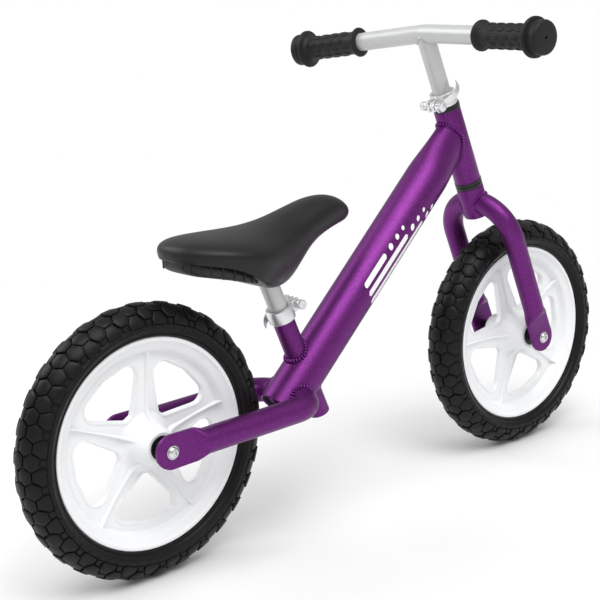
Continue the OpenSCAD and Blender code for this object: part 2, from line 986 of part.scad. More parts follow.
module tyre() {
    grow_r = tyre_w / 2;
    mid_r = wheel_r - grow_r;
    side_r = (mid_r - rim_r - 0.1) / cos(180 - bead_angle);
    root_w = channel_w - 0.2;
    color(black)
        about_y(concat(
            [[rim_r - root_h, root_w / 2], [rim_r - root_h, -root_w / 2], [rim_r + 0.1, -root_w / 2]],
            [for (a = [-bead_angle:6:-96]) [mid_r + side_r * cos(a), grow_r * sin(a)]],
            [for (a = [-90:6:90]) [mid_r + grow_r * cos(a), grow_r * sin(a)]],
            [for (a = [96:6:bead_angle]) [mid_r + side_r * cos(a), grow_r * sin(a)]],
            [[rim_r + 0.1, root_w / 2]]
        ));
}

// One opening of the web, with its bisector on +X
module web_opening() {
    outer_corner = 12;
    inner_corner = 8;
    outer_at = ring_in_r - 8 - outer_corner;
    spread = 180 / spokes - asin((spoke_w / 2 + outer_corner) / outer_at);
    hull() {
        translate([hub_r + 9 + inner_corner, 0])
            circle(r = inner_corner, $fn = 32);
        for (a = [-spread, spread])
            rotate(a)
                translate([outer_at, 0])
                    circle(r = outer_corner, $fn = 32);
        translate([outer_at, 0])
            circle(r = outer_corner, $fn = 32);
    }
}

// Rim: the ring that the tyre sits in, its inside sloping in to the web
module rim_solid() {
    half_web = web_t / 2;
    half_rim = rim_w / 2;
    half_channel = channel_w / 2;
    bottom_r = rim_r - root_h - 0.3;
    about_y([
        [ring_in_r, -half_web], [ring_in_r + 3, -half_rim + 4], [rim_r - 4, -half_rim],
        [rim_r, -half_rim], [rim_r, -half_channel], [bottom_r, -half_channel],
        [bottom_r, half_channel], [rim_r, half_channel], [rim_r, half_rim],
        [rim_r - 4, half_rim], [ring_in_r + 3, half_rim - 4], [ring_in_r, half_web],
    ]);
}

module hub_solid() {
    half_web = web_t / 2;
    about_y([
        [0, -hub_end], [hub_end_r, -hub_end], [hub_r, -half_web],
        [hub_r, half_web], [hub_end_r, hub_end], [0, hub_end],
    ]);
}

module rim() {
    color(white)
        rim_solid();
}

// Web with its openings, and a thin rib on each face of every spoke
module spoke_web(phase) {
    half_web = web_t / 2;
    rib_end_r = ring_in_r + 7;
    color(white)
        difference() {
            union() {
                rotate([90, 0, 0])
                    difference() {
                        cylinder(r = ring_in_r, h = web_t, center = true);
                        for (i = [0:spokes - 1])
                            rotate([0, 0, phase + (i + 0.5) * 360 / spokes])
                                linear_extrude(2 * web_t, center = true)
                                    web_opening();
                    }
                for (i = [0:spokes - 1])
                    rotate([0, -phase - i * 360 / spokes, 0])
                        translate([0, 0, -rib_t / 2])
                            linear_extrude(rib_t)
                                polygon([
                                    [0, -half_web - rib_h], [0, half_web + rib_h],
                                    [hub_end_r, half_web + rib_h], [rib_end_r, half_web + 7],
                                    [ring_in_r + 2, 0],
                                    [rib_end_r, -half_web - 7], [hub_end_r, -half_web - rib_h],
                                ]);
            }
            rim_solid();
            hub_solid();
        }
}

module hub() {
    color(white)
        difference() {
            hub_solid();
            ring_y(bearing_od, 0.02, -hub_end - 1, bearing_w - hub_end);
            ring_y(bearing_od, 0.02, hub_end - bearing_w, hub_end + 1);
            rotate([90, 0, 0])
                cylinder(d = bearing_od - 5, h = 2 * hub_len, center = true);
        }
}

module bearings() {
    color(black)
        for (y = [-hub_end, hub_end - bearing_w])
            ring_y(bearing_od, bearing_id, y, y + bearing_w);
}

module hub_sleeve() {
    half = hub_end - bearing_w - part_gap;
    color(bright)
        ring_y(bearing_id + 4, axle_d, -half, half);
}

module axle() {
    color(bright)
        ring_y(axle_d, bolt_d, -dropout_gap / 2, dropout_gap / 2);
}

module spacers() {
    near = hub_end + part_gap;
    far = dropout_gap / 2;
    color(bright) {
        ring_y(spacer_d, axle_d, near, far);
        ring_y(spacer_d, axle_d, -far, -near);
    }
}

module washers() {
    color(bright) {
        ring_y(washer_d, bolt_d + 2 * bolt_clear, dropout_out, dropout_out + washer_t);
        ring_y(washer_d, bolt_d + 2 * bolt_clear, -dropout_out - washer_t, -dropout_out);
    }
}

module bolts() {
    shank_end = dropout_gap / 2 - bolt_in;
    head_low = dropout_out + washer_t;
    color(bright)
        for (side = [-90, 90])
            rotate([side, 0, 0])
                difference() {
                    union() {
                        translate([0, 0, shank_end])
                            cylinder(d = bolt_d, h = head_low - shank_end + 0.5);
                        translate([0, 0, head_low])
                            cylinder(d = bolt_head_d, h = bolt_head_h / 2);
                        translate([0, 0, head_low + bolt_head_h / 2])
                            cylinder(d1 = bolt_head_d, d2 = bolt_head_d - 4, h = bolt_head_h / 2);
                    }
                    translate([0, 0, head_low + 1])
                        cylinder(d = bolt_d - 1, h = bolt_head_h, $fn = 6);
                }
}

module front_tyre() { at_wheel(axle_x) tyre(); }
module front_rim() { at_wheel(axle_x) rim(); }
module front_spokes() { at_wheel(axle_x) spoke_web(front_phase); }
module front_hub() { at_wheel(axle_x) hub(); }
module front_bearings() { at_wheel(axle_x) bearings(); }
module front_hub_sleeve() { at_wheel(axle_x) hub_sleeve(); }
module front_axle() { at_wheel(axle_x) axle(); }
module front_spacers() { at_wheel(axle_x) spacers(); }
module front_bolts() { at_wheel(axle_x) bolts(); }
module front_washers() { at_wheel(axle_x) washers(); }
module rear_tyre() { at_wheel(-axle_x) tyre(); }
module rear_rim() { at_wheel(-axle_x) rim(); }
module rear_spokes() { at_wheel(-axle_x) spoke_web(rear_phase); }
module rear_hub() { at_wheel(-axle_x) hub(); }
module rear_bearings() { at_wheel(-axle_x) bearings(); }
module rear_hub_sleeve() { at_wheel(-axle_x) hub_sleeve(); }
module rear_axle() { at_wheel(-axle_x) axle(); }
module rear_spacers() { at_wheel(-axle_x) spacers(); }
module rear_bolts() { at_wheel(-axle_x) bolts(); }
module rear_washers() { at_wheel(-axle_x) washers(); }

main_tube();
head_tube();
seat_tube();
stay_left();
stay_right();
frame_welds();
headset_lower_cup();
headset_upper_cup();
steering_bearings();
fork_steerer();
fork_crown();
fork_leg_left();
fork_leg_right();
fork_welds();
headset_crown_race();
headset_top_cap();
stem_collar();
stem_skewer();
stem_nut();
stem_lever();
stem_tube();
handlebar();
stem_weld();
grip_left();
grip_right();
seat_collar();
seat_skewer();
seat_nut();
seat_lever();
seat_post();
post_plate();
saddle_pan();
saddle_pad();
saddle_screws();
front_tyre();
front_rim();
front_spokes();
front_hub();
front_bearings();
front_hub_sleeve();
front_axle();
front_spacers();
front_bolts();
front_washers();
rear_tyre();
rear_rim();
rear_spokes();
rear_hub();
rear_bearings();
rear_hub_sleeve();
rear_axle();
rear_spacers();
rear_bolts();
rear_washers();
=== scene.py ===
import json
import math

import bmesh
import bpy
from mathutils import Matrix, Vector


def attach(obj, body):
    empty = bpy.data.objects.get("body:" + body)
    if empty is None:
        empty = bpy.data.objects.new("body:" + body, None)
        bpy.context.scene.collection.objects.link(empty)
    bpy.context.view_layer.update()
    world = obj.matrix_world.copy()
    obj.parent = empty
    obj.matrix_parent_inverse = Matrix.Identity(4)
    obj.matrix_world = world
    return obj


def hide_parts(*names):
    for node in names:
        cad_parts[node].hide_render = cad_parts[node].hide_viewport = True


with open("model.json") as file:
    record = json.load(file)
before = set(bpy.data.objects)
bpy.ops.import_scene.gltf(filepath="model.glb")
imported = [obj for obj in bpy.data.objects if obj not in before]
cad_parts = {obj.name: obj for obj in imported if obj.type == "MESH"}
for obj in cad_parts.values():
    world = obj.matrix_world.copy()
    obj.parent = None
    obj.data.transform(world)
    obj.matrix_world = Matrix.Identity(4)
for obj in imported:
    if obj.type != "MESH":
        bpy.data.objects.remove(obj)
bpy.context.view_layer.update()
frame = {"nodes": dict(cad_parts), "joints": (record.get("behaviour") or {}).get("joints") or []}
nodes = frame["nodes"]
joints = {joint["name"]: joint for joint in frame["joints"]}

# Everything is modelled in millimetres and scaled once, when its piece is finished
mm = 0.001

# Where the tubes lie. Angles are above the floor, in degrees
layout = {
    "mainLow": (-109.3, 0, 140.5), "mainAngle": 43.3, "mainRadius": 26.2, "mainWall": 2.2,
    "headRadius": 16.6, "headLow": 229.5, "headLen": 99,
    "headBore": 15, "seatLow": (-50.3, 0, 122), "seatRadius": 12.7, "seatLen": 147, "seatBore": 11.2,
    "postRadius": 11.1, "barTurn": 5,
}


def turn(axis, degrees):
    return Matrix.Rotation(math.radians(degrees), 4, axis)


def shift(x, y, z):
    return Matrix.Translation((x, y, z))


frontAxle = Vector(joints["front_wheel_spin"]["pos_m"]) / mm
rearAxle = Vector(joints["rear_wheel_spin"]["pos_m"]) / mm
steerUp = Vector(joints["steering"]["axis"])
seatUp = Vector(joints["saddle_height"]["axis"])
headAngle = math.degrees(math.atan2(steerUp.z, -steerUp.x))
seatAngle = math.degrees(math.atan2(seatUp.z, -seatUp.x))
headTop = layout["headLow"] + layout["headLen"]

onSteering = Matrix.Translation(frontAxle) @ turn("Y", headAngle - 90)
onMain = shift(*layout["mainLow"]) @ turn("Y", 90 - layout["mainAngle"])
onSeat = shift(*layout["seatLow"]) @ turn("Y", seatAngle - 90)
onBar = onSteering @ turn("Z", layout["barTurn"])

# Length of the main tube's axis, up to the steering axis
reach = frontAxle - Vector(layout["mainLow"])
mainUp = onMain.to_3x3() @ Vector((0, 0, 1))
mainLen = (reach.x * steerUp.z - reach.z * steerUp.x) / (mainUp.x * steerUp.z - mainUp.z * steerUp.x)


# Materials

def material(name, colour, roughness, sockets=()):
    made = bpy.data.materials.new(name)
    made.use_nodes = True
    shader = made.node_tree.nodes["Principled BSDF"]
    shader.inputs["Base Color"].default_value = (*colour, 1)
    shader.inputs["Roughness"].default_value = roughness
    for socket, value in dict(sockets).items():
        shader.inputs[socket].default_value = value
    return made


def noiseNode(tree, scale, detail):
    coords = tree.nodes.new("ShaderNodeTexCoord")
    noise = tree.nodes.new("ShaderNodeTexNoise")
    noise.inputs["Scale"].default_value = scale
    noise.inputs["Detail"].default_value = detail
    tree.links.new(coords.outputs["Object"], noise.inputs["Vector"])
    return noise


def addTone(made, scale, dark, light):
    # drift between two shades of the finish
    tree = made.node_tree
    noise = noiseNode(tree, scale, 3)
    ramp = tree.nodes.new("ShaderNodeValToRGB")
    for element, place, shade in zip(ramp.color_ramp.elements, (0.3, 0.7), (dark, light)):
        element.position = place
        element.color = (*shade, 1)
    tree.links.new(noise.outputs["Fac"], ramp.inputs["Fac"])
    tree.links.new(ramp.outputs["Color"], tree.nodes["Principled BSDF"].inputs["Base Color"])


def addSheenDrift(made, scale, low, high):
    # roughness that drifts between two values
    tree = made.node_tree
    noise = noiseNode(tree, scale, 2)
    span = tree.nodes.new("ShaderNodeMapRange")
    span.inputs["To Min"].default_value = low
    span.inputs["To Max"].default_value = high
    tree.links.new(noise.outputs["Fac"], span.inputs["Value"])
    tree.links.new(span.outputs["Result"], tree.nodes["Principled BSDF"].inputs["Roughness"])


def addGrain(made, scale, strength, depth):
    # fine bumps, depth in metres
    tree = made.node_tree
    noise = noiseNode(tree, scale, 4)
    bump = tree.nodes.new("ShaderNodeBump")
    bump.inputs["Strength"].default_value = strength
    bump.inputs["Distance"].default_value = depth
    tree.links.new(noise.outputs["Fac"], bump.inputs["Height"])
    tree.links.new(bump.outputs["Normal"], tree.nodes["Principled BSDF"].inputs["Normal"])


# A finish is its name, colour, roughness and shader sockets, then its tone (scale, dark, light),
# its sheen (scale, lowest and highest roughness) and its grain (scale, strength, depth)
finishSpec = {
    "purple": ("purpleAnodised", (0.15, 0.018, 0.18), 0.4, {"Metallic": 0.8},
               (1000, (0.085, 0.009, 0.105), (0.205, 0.03, 0.235)), (160, 0.37, 0.45), (2200, 0.14, 0.0002)),
    "bead": ("purpleWeld", (0.17, 0.024, 0.21), 0.3, {"Metallic": 0.82},
             (700, (0.12, 0.014, 0.15), (0.24, 0.04, 0.29)), None, (900, 0.3, 0.0004)),
    "silver": ("silverPaint", (0.56, 0.565, 0.565), 0.4, {"Metallic": 0.3},
               (22, (0.535, 0.54, 0.54), (0.58, 0.585, 0.59)), None, (2200, 0.1, 0.0002)),
    "polished": ("polishedAlloy", (0.7, 0.7, 0.71), 0.26, {"Metallic": 0.95},
                 (30, (0.74, 0.74, 0.75), (0.78, 0.78, 0.79)), (60, 0.36, 0.41), None),
    "steel": ("zincSteel", (0.7, 0.7, 0.71), 0.22, {"Metallic": 1.0},
              (90, (0.64, 0.64, 0.65), (0.75, 0.75, 0.76)), (300, 0.17, 0.28), None),
    "ringBlack": ("blackAlloy", (0.012, 0.012, 0.013), 0.3, {"Metallic": 0.3},
                  (80, (0.01, 0.01, 0.011), (0.016, 0.016, 0.017)), (200, 0.25, 0.36), None),
    "rubber": ("gripRubber", (0.008, 0.008, 0.0085), 0.5, {"Specular IOR Level": 0.3},
               (60, (0.0065, 0.0065, 0.007), (0.0105, 0.0105, 0.011)), (120, 0.47, 0.6),
               (1800, 0.16, 0.0003)),
    "saddle": ("saddleSkin", (0.009, 0.0085, 0.0085), 0.4, {"Specular IOR Level": 0.32},
               (18, (0.0062, 0.0058, 0.0058), (0.0084, 0.0078, 0.0078)), (60, 0.38, 0.47),
               (2400, 0.16, 0.0003)),
    "base": ("saddleBase", (0.007, 0.007, 0.0075), 0.55, {},
             (40, (0.006, 0.006, 0.0065), (0.009, 0.009, 0.0095)), None, (1500, 0.15, 0.0003)),
    "white": ("whitePlastic", (0.86, 0.87, 0.885), 0.34,
              {"Subsurface Weight": 0.08, "Subsurface Radius": (0.004, 0.004, 0.004),
               "Subsurface Scale": 1.0},
              (12, (0.845, 0.855, 0.87), (0.88, 0.89, 0.9)), (90, 0.3, 0.4), (1400, 0.05, 0.0002)),
    "tyre": ("foamTyre", (0.0075, 0.0068, 0.0065), 0.4, {"Specular IOR Level": 0.2},
             (34, (0.0042, 0.0038, 0.0036), (0.007, 0.0063, 0.006)), (80, 0.34, 0.5), (1300, 0.2, 0.0004)),
    "decal": ("whiteDecal", (0.86, 0.86, 0.87), 0.4, {},
              (30, (0.84, 0.84, 0.85), (0.89, 0.89, 0.9)), None, None),
    # painted shade: near-black purple standing in for the shade inside the open tube end, not the tube's own
    # colour
    "paintedShade": ("paintedShadeInTube", (0.012, 0.003, 0.016), 0.6, {"Metallic": 0.2},
               (60, (0.009, 0.002, 0.012), (0.018, 0.005, 0.022)), None, None),
}


def makeFinishes():
    made = {}
    for look, (name, colour, roughness, sockets, tone, sheen, grain) in finishSpec.items():
        made[look] = material(name, colour, roughness, sockets)
        for add, values in ((addTone, tone), (addSheenDrift, sheen), (addGrain, grain)):
            if values:
                add(made[look], *values)
    return made


finishes = makeFinishes()
print("finishes made")


# Tools for making pieces

def finish(name, bm, place, body, look, hides=(), crease=32, weld=0.004):
    bmesh.ops.transform(bm, matrix=Matrix.Scale(mm, 4) @ place, verts=bm.verts)
    if weld:
        bmesh.ops.remove_doubles(bm, verts=bm.verts, dist=weld * mm)
    bmesh.ops.recalc_face_normals(bm, faces=bm.faces)
    limit = math.radians(crease)
    for face in bm.faces:
        face.smooth = True
    for edge in bm.edges:
        if len(edge.link_faces) == 2 and edge.calc_face_angle() > limit:
            edge.smooth = False
    mesh = bpy.data.meshes.new(name)
    bm.to_mesh(mesh)
    bm.free()
    piece = bpy.data.objects.new(name, mesh)
    bpy.context.scene.collection.objects.link(piece)
    mesh.materials.append(finishes[look])
    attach(piece, body)
    if hides:
        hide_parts(*hides)
    return piece


def turned(bm, profile, place=Matrix(), steps=72):
    # spins an outline of (radius, height) points round its own Z axis
    before = set(bm.verts)
    points = [bm.verts.new((radius, 0, height)) for radius, height in profile]
    edges = [bm.edges.new(pair) for pair in zip(points, points[1:])]
    bmesh.ops.spin(bm, geom=points + edges, cent=(0, 0, 0), axis=(0, 0, 1),
                   angle=math.tau, steps=steps, use_merge=True, use_duplicate=False)
    made = [vert for vert in bm.verts if vert not in before]
    bmesh.ops.remove_doubles(bm, verts=made, dist=0.0005)
    bmesh.ops.transform(bm, matrix=place, verts=[vert for vert in made if vert.is_valid])


def rounded(low, high, inner, outer, edge=0.6):
    # a ring's closed outline with its four corners eased
    return [
        (inner, low + edge), (inner + edge, low), (outer - edge, low), (outer - 0.3 * edge, low + 0.3 * edge),
        (outer, low + edge), (outer, high - edge), (outer - 0.3 * edge, high - 0.3 * edge),
        (outer - edge, high), (inner + edge, high), (inner, high - edge), (inner, low + edge),
    ]


def power(value, exponent):
    return math.copysign(abs(value) ** exponent, value)


def oval(wide, thin, flat=0.0, count=48):
    # a section that goes from an ellipse to a flat strip with round edges
    return [Vector((wide * power(math.cos(a), 1 - 0.3 * flat), thin * power(math.sin(a), 1 - 0.82 * flat), 0))
            for a in (math.tau * i / count for i in range(count))]


def linkedEdges(verts):
    # each edge once, in an order that stays the same from run to run
    return list(dict.fromkeys(edge for vert in verts for edge in vert.link_edges))


def loft(bm, stations):
    # bridges a row of sections, each given as its place and its outline
    previous = None
    ends = []
    for place, outline in stations:
        verts = bmesh.ops.create_circle(bm, cap_ends=False, radius=1, segments=len(outline))["verts"]
        for vert, point in zip(verts, outline):
            vert.co = place @ point
        edges = linkedEdges(verts)
        if previous:
            bmesh.ops.bridge_loops(bm, edges=previous + edges)
        else:
            ends.append(edges)
        previous = edges
    ends.append(previous)
    for edges in ends:
        bmesh.ops.edgeloop_fill(bm, edges=edges)


# Each weld's bead radius, the step between beads and how far they stand out from the joint
beadSpec = {
    "head": (3.2, 3.5, 0.8), "seatTop": (3.4, 3.5, 1.4), "seatUnder": (2.5, 2.1), "stay": (3.4, 3.5, 0.9),
    "fork": (3.1, 3.3), "stem": (2.4, 1.7), "squash": 0.52, "seatMiddle": 66,
}


def beads(bm, points, size, gap, lift=0.0, away=None):
    # small overlapping lumps along a closed line, as a weld leaves them,
    # pushed out from the joint's middle
    line = [Vector(p) for p in points]
    if lift:
        line = [p + (p - away).normalized() * lift for p in line]
    line.append(line[0])
    carry = 0.0
    for a, b in zip(line, line[1:]):
        run = (b - a).length
        at = carry
        while at < run:
            along = (b - a).normalized()
            place = Matrix.Translation(a + along * at) @ along.to_track_quat("Z", "Y").to_matrix().to_4x4()
            squash = Matrix.Diagonal((1, 1, beadSpec["squash"], 1))
            bmesh.ops.create_icosphere(bm, subdivisions=1, radius=size, matrix=place @ squash)
            at += gap
        carry = at - run


def meeting(tube, outline, other, radius, far=False):
    # where lines along one tube's surface first meet another tube
    points = []
    toOther = other.inverted() @ tube
    for p in outline:
        start = toOther @ p
        along = toOther.to_3x3() @ Vector((0, 0, 1))
        a = along.x ** 2 + along.y ** 2
        b = start.x * along.x + start.y * along.y
        c = start.x ** 2 + start.y ** 2 - radius ** 2
        depth = max(b * b - a * c, 0)
        t = (-b + (math.sqrt(depth) if far else -math.sqrt(depth))) / a
        points.append(tube @ (p + Vector((0, 0, t))))
    return points


# Frame

# the depth inside is how far the sheet of painted shade reaches into the open lower end
mainTubeSpec = {"squeezeFrom": 74, "endWide": 26.6, "endThin": 16.1, "rimEase": 0.7, "paintedShadeDepth": 27,
                "fullBefore": 14}


def mainSection(along):
    # round low down, squeezed to the head tube's width at the top
    spec = mainTubeSpec
    radius = layout["mainRadius"]
    share = (along - (mainLen - spec["squeezeFrom"])) / (spec["squeezeFrom"] - spec["fullBefore"])
    share = min(1, max(0, share))
    ease = share * share * (3 - 2 * share)
    wide, thin = (radius + (spec[end] - radius) * ease for end in ("endWide", "endThin"))
    return oval(wide, thin, count=96)


def makeMainTube():
    spec = mainTubeSpec
    bm = bmesh.new()
    inner = layout["mainRadius"] - layout["mainWall"]
    outer = layout["mainRadius"]
    ease = spec["rimEase"]
    mouth = [(60, inner), (ease, inner), (0, inner + ease), (0, outer - ease), (ease, outer)]
    stations = [(shift(0, 0, z), oval(r, r, count=96)) for z, r in mouth]
    start = mainLen - spec["squeezeFrom"]
    steps = [start * i / 6 for i in range(1, 7)]
    steps += [start + spec["squeezeFrom"] * i / 16 for i in range(1, 17)]
    stations += [(shift(0, 0, z), mainSection(z)) for z in steps]
    loft(bm, stations)
    finish("mainTube", bm, onMain, "frame", "purple", ["main_tube"])
    # painted shade: a near-black purple sheet inside the open lower end, darker than the tube's own purple,
    # standing in for the shade inside the tube
    bm = bmesh.new()
    depth = spec["paintedShadeDepth"]
    turned(bm, [(0, depth), (inner - 0.3, depth), (inner - 0.3, 2), (inner - 0.1, 1.2)], steps=96)
    finish("mainTubePaintedShade", bm, onMain, "frame", "paintedShade")


def makePlainTubes():
    bm = bmesh.new()
    turned(bm, rounded(layout["headLow"], headTop, layout["headBore"], layout["headRadius"], 0.4), steps=96)
    finish("headTube", bm, onSteering, "frame", "purple", ["head_tube"])
    bm = bmesh.new()
    turned(bm, rounded(0, layout["seatLen"], layout["seatBore"], layout["seatRadius"], 0.4), steps=96)
    finish("seatTube", bm, onSeat, "frame", "purple", ["seat_tube"])


legSpec = {
    "endRadius": 18.6, "endThin": 2.6, "flatTo": 27, "dropoutY": 50.5,
    "stayRadius": 14.3, "stayBend": 30, "forkRadius": 13.2, "forkBend": 50, "forkTop": 198.5,
    "weldUp": 19,
}


def makeLeg(bm, radius, straight, bend, angle, tail):
    # from the flattened end at the axle, up +Z, round a bend towards -Y
    spec = legSpec
    wide = spec["endRadius"]
    thin = spec["endThin"]
    flatTo = spec["flatTo"]
    stations = [(shift(0, 0, -wide * math.sin(a)), oval(wide * math.cos(a) + 0.3, thin - 0.5 * (a > 1.3), 1))
                for a in (math.radians(d) for d in (86, 76, 64, 50, 36, 22, 10, 0))]
    stations.append((shift(0, 0, flatTo), oval(wide, thin, 1)))
    stations.append((shift(0, 0, flatTo + 0.8), oval(wide, thin + 0.5, 1)))
    for share in (0.08, 0.18, 0.3, 0.42, 0.55, 0.68, 0.84, 1.0):
        ease = share * share * (3 - 2 * share)
        stations.append((shift(0, 0, flatTo + 0.8 + 16 * share), oval(
            wide + (radius - wide) * ease, thin + (radius - thin) * math.sin(share * math.pi / 2) ** 0.9,
            1 - share ** 0.6)))
    stations.append((shift(0, 0, straight - 0.5), oval(radius, radius)))
    steps = 20
    centre = shift(0, -bend, straight)
    for i in range(steps + 1):
        place = centre @ turn("X", angle * i / steps) @ shift(0, bend, 0)
        stations.append((place, oval(radius, radius)))
    stations.append((centre @ turn("X", angle) @ shift(0, bend, tail), oval(radius, radius)))
    loft(bm, stations)


def mirrored(side):
    return Matrix.Diagonal((1, side, 1, 1))


stayX = layout["mainLow"][0] + legSpec["weldUp"] * mainUp.x
stayZ = layout["mainLow"][2] + legSpec["weldUp"] * mainUp.z
stayTilt = math.degrees(math.atan2(stayZ - rearAxle.z, stayX - rearAxle.x))
stayReach = math.hypot(stayZ - rearAxle.z, stayX - rearAxle.x)
onStays = shift(stayX, 0, stayZ) @ turn("Y", -stayTilt)


def makeStays():
    spec = legSpec
    for side, name in ((1, "Left"), (-1, "Right")):
        bm = bmesh.new()
        tail = spec["dropoutY"] - spec["stayBend"] - layout["mainRadius"] / 2
        makeLeg(bm, spec["stayRadius"], stayReach - spec["stayBend"], spec["stayBend"], 90, tail)
        place = onStays @ mirrored(side) @ shift(-stayReach, spec["dropoutY"], 0) @ turn("Y", 90)
        finish("stay" + name, bm, place, "frame", "purple", ["stay_" + name.lower()])


def makeFrameWelds():
    bm = bmesh.new()
    seatRing = oval(layout["seatRadius"], layout["seatRadius"], count=40)
    end = mainSection(mainLen)
    headMiddle = Vector(layout["mainLow"]) + (mainLen - 8) * mainUp
    headLine = meeting(onMain, end, onSteering, layout["headRadius"])
    beads(bm, headLine, *beadSpec["head"], away=headMiddle)
    seatMiddle = Vector(layout["seatLow"]) + seatUp * beadSpec["seatMiddle"]
    top = meeting(onSeat, seatRing, onMain, layout["mainRadius"], far=True)
    beads(bm, top, *beadSpec["seatTop"], away=seatMiddle)
    beads(bm, meeting(onSeat, seatRing, onMain, layout["mainRadius"]), *beadSpec["seatUnder"])
    stayRing = oval(legSpec["stayRadius"], legSpec["stayRadius"], count=40)
    for side in (-90, 90):
        line = meeting(onStays @ turn("X", side), stayRing, onMain, layout["mainRadius"], far=True)
        beads(bm, line, *beadSpec["stay"], away=Vector((stayX, 0, stayZ)))
    finish("frameWelds", bm, Matrix(), "frame", "bead", ["frame_welds"], crease=60, weld=0)


# Painted mark on both sides of the main tube: slanted bars and a row of dots
markSpec = {
    "from": 168, "to": 318, "lift": 0.18, "slant": 0.35,
    "bars": [(0.02, 0.30, 10, 6.5), (0.02, 0.58, -1, 6.5), (0.02, 0.80, -12, 6.5)],
    "dots": [(0.40, 10, 3.6), (0.50, 10, 3.0), (0.59, 10, 2.4), (0.68, -1, 3.6), (0.77, -1, 3.0),
             (0.86, -1, 2.4), (0.89, -12, 3.6), (0.97, -12, 3.0)],
}


def makeMark():
    spec = markSpec
    length = spec["to"] - spec["from"]
    radius = layout["mainRadius"] + spec["lift"]
    for side, name in ((-1, "Right"), (1, "Left")):
        bm = bmesh.new()
        shapes = []
        for start, stop, across, width in spec["bars"]:
            shapes.append((spec["from"] + length * start, spec["from"] + length * stop, across, width / 2))
        for at, across, width in spec["dots"]:
            shapes.append((spec["from"] + length * at, spec["from"] + length * at + 0.01, across, width))
        for low, high, across, half in shapes:
            made = bmesh.ops.create_grid(bm, x_segments=40, y_segments=8, size=1)["verts"]
            for vert in made:
                straight = (high - low) / 2
                along = vert.co.x * (straight + half)
                over = max(0, abs(along) - straight)
                height = across + vert.co.y * math.sqrt(max(half * half - over * over, 0))
                angle = height / radius
                vert.co = (radius * math.sin(angle), side * radius * math.cos(angle),
                           (low + high) / 2 + along + spec["slant"] * height)
        # a bar's top edge is towards the tube's upper side, which is -X here
        place = onMain @ Matrix.Diagonal((-1, 1, 1, 1))
        finish("mark" + name, bm, place, "frame", "decal", weld=0.001)


makeMainTube()
makePlainTubes()
makeStays()
makeFrameWelds()
makeMark()
print("frame made")


# Headset and fork

headsetSpec = {
    "radius": 17.1, "lowerRing": 4, "upperRing": 2.4, "gap": 0.4, "cupBore": 13.9, "raceBore": 12.7,
}
crownTop = layout["headLow"] - 2 * headsetSpec["lowerRing"] - headsetSpec["gap"]


def makeHeadset():
    spec = headsetSpec
    tall, thin, cup, race = spec["lowerRing"], spec["upperRing"], spec["cupBore"], spec["raceBore"]
    capLow = headTop + thin + spec["gap"]
    for name, body, low, high, bore, edge in (
            ("lower_cup", "frame", layout["headLow"] - tall, tall, cup, 0.6),
            ("upper_cup", "frame", headTop, thin, cup, 0.4),
            ("crown_race", "fork", crownTop, tall, race, 0.6),
            ("top_cap", "fork", capLow, thin, race, 0.4)):
        bm = bmesh.new()
        turned(bm, rounded(low, low + high, bore, spec["radius"], edge), steps=96)
        piece = "headset" + "".join(word.capitalize() for word in name.split("_"))
        finish(piece, bm, onSteering, body, "ringBlack", ["headset_" + name])


forkSpec = {"crownRadius": 17, "crownLow": 180, "boreRadius": 12.7}


def makeFork():
    spec = forkSpec
    bm = bmesh.new()
    turned(bm, rounded(spec["crownLow"], crownTop, spec["boreRadius"], spec["crownRadius"], 1.0), steps=96)
    finish("forkCrown", bm, onSteering, "fork", "purple", ["fork_crown"])
    leg = legSpec
    bendZ = leg["forkTop"] - leg["forkBend"]
    for side, name in ((1, "Left"), (-1, "Right")):
        bm = bmesh.new()
        makeLeg(bm, leg["forkRadius"], bendZ, leg["forkBend"], 88, 0.5)
        place = onSteering @ mirrored(side) @ shift(0, leg["dropoutY"], 0)
        finish("forkLeg" + name, bm, place, "fork", "purple", ["fork_leg_" + name.lower()])
    bm = bmesh.new()
    inset = spec["crownRadius"] + leg["forkBend"] - leg["dropoutY"]
    slope = math.degrees(math.acos(inset / leg["forkBend"]))
    for side in (1, -1):
        centre = onSteering @ mirrored(side) @ shift(0, leg["dropoutY"] - leg["forkBend"], bendZ)
        tube = centre @ turn("X", slope) @ shift(0, leg["forkBend"], 0)
        ring = oval(leg["forkRadius"], leg["forkRadius"], count=40)
        beads(bm, meeting(tube, ring, onSteering, spec["crownRadius"]), *beadSpec["fork"])
    finish("forkWelds", bm, Matrix(), "fork", "bead", ["fork_welds"], crease=60, weld=0)


makeHeadset()
makeFork()
print("fork made")


# Handlebar, stem and grips

barSpec = {"radius": 11.1, "up": 427, "half": 186.5, "sweep": 26, "rise": -2, "bend": 58, "stemLow": 240}


def barTip(side):
    return Vector((-barSpec["sweep"], side * barSpec["half"], barSpec["up"] + barSpec["rise"]))


def barPlaces():
    # sections along the bar from its right tip, round one smooth bend, to its left tip
    spec = barSpec
    middle = Vector((0, 0, spec["up"]))
    arms = [(barTip(side) - middle).normalized() for side in (-1, 1)]
    cut = spec["bend"] * math.tan(arms[0].angle(-arms[1]) / 2)
    points = [barTip(-1), middle + arms[0] * cut * 1.4]
    for i in range(13):
        t = i / 12
        a, b = middle + arms[0] * cut, middle + arms[1] * cut
        points.append(a * (1 - t) ** 2 + middle * 2 * t * (1 - t) + b * t ** 2)
    points += [middle + arms[1] * cut * 1.4, barTip(1)]
    places = []
    for i, point in enumerate(points):
        along = (points[min(i + 1, len(points) - 1)] - points[max(i - 1, 0)]).normalized()
        side = along.cross(Vector((0, 0, 1))).normalized()
        up = side.cross(along)
        turned3 = Matrix((side, up, along)).transposed().to_4x4()
        places.append(Matrix.Translation(point) @ turned3)
    return places


